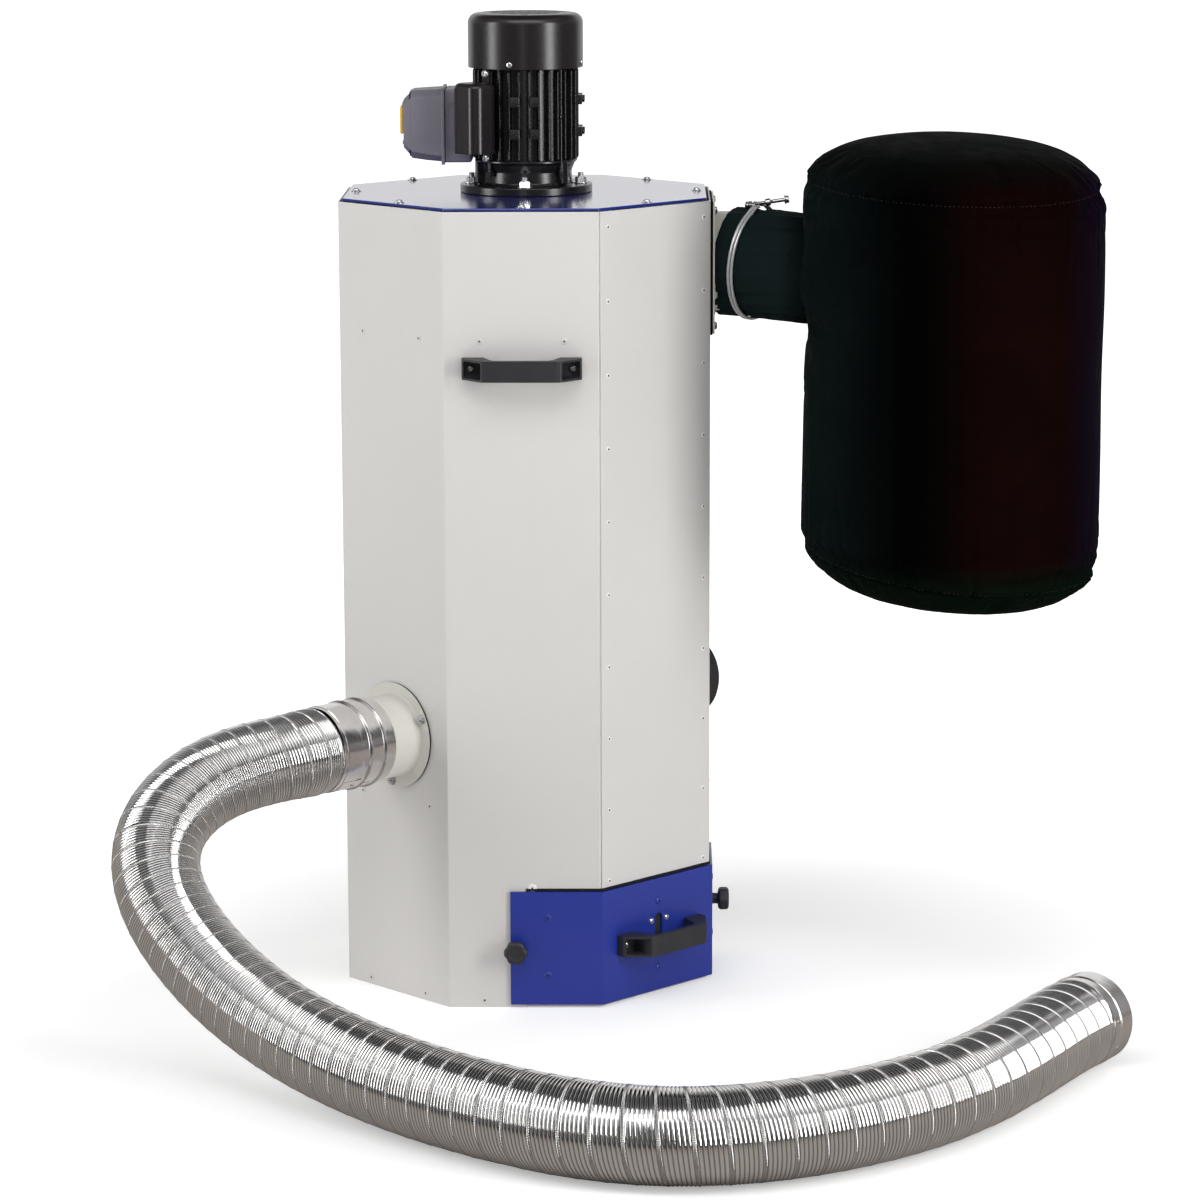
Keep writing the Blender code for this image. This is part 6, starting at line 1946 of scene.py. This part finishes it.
def open_sleeve(ob):
    """Cut the sleeve end on a slant and turn in a hem."""
    slant = (TO_BAG + BESIDE * 0.1732 - Vector((0, 0, 0.115))).normalized()
    with edit(ob) as bm:
        bmesh.ops.bisect_plane(bm, geom=bm.verts[:] + bm.edges[:] + bm.faces[:], dist=1e-6,
                               plane_co=NECK - TO_BAG * 0.0229, plane_no=slant,
                               clear_inner=True)
        edge = [e for e in bm.edges if len(e.link_faces) == 1]
        # change from the sleeve radius, and step along the sleeve
        for grow, step in ((0.0004, -0.0006), (-0.0012, -0.0004), (-0.0021, 0.0010),
                           (-0.0023, 0.0140)):
            geometry = bmesh.ops.extrude_edge_only(bm, edges=edge)["geom"]
            edge = [g for g in geometry if isinstance(g, bmesh.types.BMEdge)
                    and len(g.link_faces) == 1]
            for v in geometry:
                if isinstance(v, bmesh.types.BMVert):
                    offset = v.co - NECK
                    s = offset.dot(TO_BAG)
                    radial = offset - TO_BAG * s
                    v.co = (NECK + TO_BAG * (s + step)
                            + radial * ((SLEEVE_R + grow) / radial.length))


def filter_bag():
    ob = bag_shape()
    inflate(ob)
    subdivide = ob.modifiers.new("sub", "SUBSURF")
    subdivide.levels = subdivide.render_levels = 1
    bake(ob)
    points = read_vectors(ob.data).astype(float)
    normals = read_vectors(ob.data, "normal").astype(float)
    write_points(ob.data, points + normals * fold_depths(points)[:, None])
    open_sleeve(ob)
    ob.data.shade_smooth()
    ob.data.materials.clear()
    ob.data.materials.append(FABRIC)
    return ob


bag = filter_bag()
put(bag, "bag", "bag_fabric", "filter_bag")
bag_surface = BVHTree.FromObject(bag, bpy.context.evaluated_depsgraph_get())


def seam_loop(seam, offset, count=300):
    """Points on the cloth along a seam; misses take the radius of their nearest neighbour."""
    hits, misses = {}, {}
    for i in range(count):
        a = 2 * math.pi * i / count
        direction = Vector((math.cos(a), math.sin(a), 0))
        z = seam(BAG_X + direction.x * BAG_R, BAG_Y + direction.y * BAG_R) + offset
        centre = Vector((BAG_X, BAG_Y, z))
        hit = bag_surface.ray_cast(centre + direction * 0.12, direction)[0]
        if hit is None or (hit - centre).length > BAG_R + 0.02:
            misses[i] = a
        else:
            hits[i] = hit
    points = dict(hits)
    for i, a in misses.items():
        z = seam(BAG_X + BAG_R * math.cos(a), BAG_Y + BAG_R * math.sin(a)) + offset
        j = min(hits, key=lambda k: min((k - i) % count, (i - k) % count))
        radius = (hits[j].xy - Vector((BAG_X, BAG_Y))).length
        points[i] = Vector((BAG_X + radius * math.cos(a), BAG_Y + radius * math.sin(a), z))
    return [points[i] for i in range(count)]


def smooth_loop(points, times=1):
    for _ in range(times):
        points = [(points[i - 1] + points[i] * 2 + points[(i + 1) % len(points)]) / 4
                  for i in range(len(points))]
    return points


def bag_piping():
    """Cords along both seams and round the root of the sleeve."""
    cords = [tube("cord", smooth_loop(seam_loop(seam, 0.0)), 0.0014, FABRIC, sides=8,
                  closed=True, ripple=lambda i, a: 0.0014 + 0.00025 * math.sin(i * 2.1))
             for seam in (seam_top, seam_low)]
    root = []
    for k in range(150):
        a = 2 * math.pi * k / 150
        radial = BESIDE * math.cos(a) + Z_AXIS * math.sin(a)
        hit = bag_surface.ray_cast(NECK + TO_BAG * 0.030 + radial * (SLEEVE_R + 0.0091),
                                   TO_BAG)[0]
        if hit is not None:
            root.append(hit)
    # only when the rays find nearly the whole way round
    if len(root) > 140:
        cords.append(tube("cord", smooth_loop(root, 2), 0.0011, FABRIC, sides=8, closed=True))
    return join("bag_seam_piping", cords)


def bag_stitches():
    """Short raised threads beside both seams."""
    count = 420
    verts, faces = [], []
    for seam, offset in ((seam_top, -0.0065), (seam_low, 0.0065)):
        loop = seam_loop(seam, offset, count)
        for i in range(0, count, 2):
            start, end = loop[i], loop[(i + 1) % count]
            along = end - start
            if along.length > 0.02 or along.length < 1e-5:
                continue
            along.normalize()
            out = Vector((start.x - BAG_X, start.y - BAG_Y, 0)).normalized()
            half = along.cross(out).normalized() * 0.00030
            start, end = start + along * 0.0004, end - along * 0.0004
            base = len(verts)
            for p, height in ((start, -0.0002), ((start * 3 + end) / 4, 0.0003),
                              ((start + end * 3) / 4, 0.0003), (end, -0.0002)):
                low, high = out * (height - 0.0003), out * height
                verts += [p - half + low, p - half + high, p + half + high, p + half + low]
            for j in (base, base + 4, base + 8):
                for k in range(4):
                    following = (k + 1) % 4
                    faces.append((j + k, j + following, j + 4 + following, j + 4 + k))
            faces.append((base, base + 3, base + 2, base + 1))
            faces.append((base + 12, base + 13, base + 14, base + 15))
    return solid("bag_stitches", verts, faces, THREAD, sharp=60, weighted=False)


put(bag_piping(), "bag", "bag_fabric")
put(bag_stitches(), "bag", "bag_fabric")

# ---------------------------------------------------------------- CAD nodes left in view
LOOKS = {"cabinet_grey": GREY, "panel_blue": BLUE, "motor_black": CAST_BLACK,
         "black_plastic": PLASTIC, "box_grey": BOX_GREY, "yellow_plastic": YELLOW,
         "green_plastic": GREEN, "red_plastic": RED, "zinc": ZINC, "steel": STEEL,
         "aluminium": ALUMINIUM, "galvanised": GALVANISED, "foam_black": FOAM,
         "bag_fabric": FABRIC, "winding": COPPER, "flange_cream": CREAM}
# bevel widths
ROUNDED = {"switch_bezel": 0.0014, "start_button": 0.0010, "stop_button": 0.0010,
           "base_plate": 0.0004, "fan_floor_plate": 0.0003, "bin_tub": 0.0004,
           "impeller": 0.0004, "cooling_fan": 0.0004, "chip_funnel": 0.0003,
           "fan_scroll": 0.0003, "rotor_core": 0.0004, "stator": 0.0012}


def dress(name, ob):
    """Give a CAD node its new material, softened edges and clean shading."""
    mesh = ob.data
    old = mesh.materials[0].name.split(".")[0] if mesh.materials else "cabinet_grey"
    look = LOOKS.get(old) or next((m for key, m in LOOKS.items() if key in old), GREY)
    mesh.materials.clear()
    mesh.materials.append(look)
    ob.modifiers.new("weld", "WELD").merge_threshold = 0.00002
    if name in ROUNDED:
        bevel = ob.modifiers.new("bev", "BEVEL")
        bevel.width = ROUNDED[name]
        bevel.segments = 2
        bevel.limit_method = "ANGLE"
        bevel.angle_limit = math.radians(35)
        bevel.harden_normals = False
    mesh.shade_smooth()
    mesh.set_sharp_from_angle(angle=math.radians(35))
    keep_sharp(ob)


for name, ob in NODES.items():
    if not ob.hide_render:
        dress(name, ob)

# ---------------------------------------------------------------- floor, world, lights, camera


def stage_material(name):
    """Material without its Principled node."""
    material = bpy.data.materials.new(name)
    tree = Nodes(material)
    tree.tree.nodes.remove(tree.principled)
    return material, tree


def floor_material():
    """Floor that looks different to the camera, to reflections and to bounced light."""
    material, tree = stage_material("stage_floor")
    seen = tree.add("ShaderNodeBsdfDiffuse", Color=tree.mix(
        tree.ramp(tree.noise(3.0), 0.3, 0.7), (0.90, 0.90, 0.90), (0.92, 0.92, 0.92)))
    # the glow grows with distance from the machine
    distance = tree.add("ShaderNodeVectorMath", tree.coords(), (0.1, -0.5, 0.0),
                        operation="DISTANCE").outputs["Value"]
    glow = tree.add("ShaderNodeEmission", Color=(1, 1, 1, 1),
                    Strength=tree.ramp(distance, 0.80, 1.9, 0.36, 1.0))
    for_camera = tree.add("ShaderNodeAddShader", seen.outputs[0], glow.outputs[0])
    bright = tree.add("ShaderNodeBsdfDiffuse", Color=(0.86, 0.85, 0.84, 1))
    fill = tree.add("ShaderNodeEmission", Color=(1, 0.99, 0.98, 1), Strength=0.19)
    for_bounce = tree.add("ShaderNodeAddShader", bright.outputs[0], fill.outputs[0])
    depth = tree.add("ShaderNodeSeparateXYZ", tree.coords()).outputs["Y"]
    mirrored = tree.add("ShaderNodeBsdfDiffuse", Color=tree.mix(
        tree.ramp(depth, -1.75, -1.25), (0.07, 0.07, 0.072), (0.40, 0.365, 0.335)))
    ray = tree.add("ShaderNodeLightPath").outputs
    unseen = tree.add("ShaderNodeMixShader", ray["Is Glossy Ray"], for_bounce.outputs[0],
                      mirrored.outputs[0])
    both = tree.add("ShaderNodeMixShader", ray["Is Camera Ray"], unseen.outputs[0],
                    for_camera.outputs[0])
    tree.feed(tree.output.inputs["Surface"], both.outputs[0])
    return material


def backdrop_material():
    material, tree = stage_material("stage_backdrop")
    tone = tree.mix(tree.ramp(tree.noise(0.6), 0.3, 0.7), (0.96, 0.96, 0.97), (1, 1, 1))
    paper = tree.add("ShaderNodeEmission", Strength=0.85, Color=tone)
    tree.feed(tree.output.inputs["Surface"], paper.outputs[0])
    return material


def studio_world():
    """White to the camera; a dark room with a bright reflector band to everything else."""
    world = bpy.data.worlds.new("studio")
    bpy.context.scene.world = world
    tree = Nodes(world)
    tree.tree.nodes.clear()
    place = tree.add("ShaderNodeTexCoord").outputs["Generated"]
    direction = tree.add("ShaderNodeSeparateXYZ", place).outputs

    def height_ramp(stops):
        """Grey by height; stops are (height, brightness), the two ends first."""
        node = tree.add("ShaderNodeValToRGB", Fac=direction["Z"])
        elements = node.color_ramp.elements
        for i, (position, value) in enumerate(stops):
            element = elements[i] if i < 2 else elements.new(position)
            element.position = position
            element.color = (value, value, value * 1.01, 1)
        return node.outputs["Color"]

    front = height_ramp([(0.0, 0.12), (1.0, 0.03), (0.51, 0.13), (0.58, 0.45), (0.72, 0.52),
                         (0.80, 0.50), (0.85, 0.10)])
    rear = height_ramp([(0.0, 0.30), (1.0, 0.05), (0.35, 0.30), (0.60, 0.10)])
    room = tree.mix(tree.ramp(direction["Y"], -0.10, 0.25), front, rear)
    dim = tree.add("ShaderNodeBackground", Color=room, Strength=1.0)
    white = tree.add("ShaderNodeBackground", Color=(1, 1, 1, 1), Strength=1.0)
    seen = tree.add("ShaderNodeLightPath").outputs["Is Camera Ray"]
    both = tree.add("ShaderNodeMixShader", seen, dim.outputs[0], white.outputs[0])
    tree.add("ShaderNodeOutputWorld", Surface=both.outputs[0])


def area_light(name, place, aim, width, height, power):
    light = bpy.data.lights.new(name, "AREA")
    light.shape = "RECTANGLE"
    light.size, light.size_y = width, height
    light.energy = power
    light.spread = math.radians(180)
    ob = link(name, light)
    ob.location = place
    ob.rotation_mode = "QUATERNION"
    ob.rotation_quaternion = (Vector(aim) - Vector(place)).to_track_quat("-Z", "Y")


def camera():
    scene = bpy.context.scene
    data = bpy.data.cameras.new("camera")
    ob = link("camera", data)
    scene.camera = ob
    yaw, pitch, roll = 0.0119809, 0.1909153, -0.0028806
    forward = Vector((-math.sin(yaw) * math.cos(pitch), math.cos(yaw) * math.cos(pitch),
                      -math.sin(pitch)))
    level = Vector((math.cos(yaw), math.sin(yaw), 0))
    upright = level.cross(forward)
    ob.matrix_world = axes(level * math.cos(roll) + upright * math.sin(roll),
                           upright * math.cos(roll) - level * math.sin(roll),
                           -forward, Vector((0.186345, -6.385017, 1.804785)))
    data.sensor_width = 36
    data.lens = 126.33
    data.clip_start, data.clip_end = 0.05, 100
    scene.view_settings.view_transform = "Standard"
    scene.view_settings.look = "None"
    scene.view_settings.exposure = 0.0
    scene.view_settings.gamma = 1.0


FLOOR_Z = -0.0002
solid("stage_floor", [(-40, -12, FLOOR_Z), (40, -12, FLOOR_Z), (40, 90, FLOOR_Z),
                               (-40, 90, FLOOR_Z)], [(0, 1, 2, 3)], floor_material(),
               weighted=False)
studio_world()
area_light("light_top", place=(0.2, -2.6, 3.6), aim=(0.15, -0.6, 0.3), width=4.2, height=1.9,
           power=56)
area_light("light_left", place=(-3.5, -1.4, 1.4), aim=(0.1, -0.2, 0.6), width=1.0,
           height=2.8, power=58)
area_light("light_right", place=(3.2, -2.6, 1.4), aim=(0.2, -0.2, 0.7), width=1.0,
           height=2.8, power=84)
area_light("light_strip", place=(-0.35, -5.2, 1.9), aim=(0.0, 0.0, 1.0), width=0.5,
           height=2.2, power=5)

# white card behind the machine, hidden from the camera
card = solid("stage_backdrop", [(-6, 5.0, 0.0), (6, 5.0, 0.0), (6, 5.0, 4.2), (-6, 5.0, 4.2)],
             [(0, 1, 2, 3)], backdrop_material(), weighted=False)
card.visible_camera = False
camera()
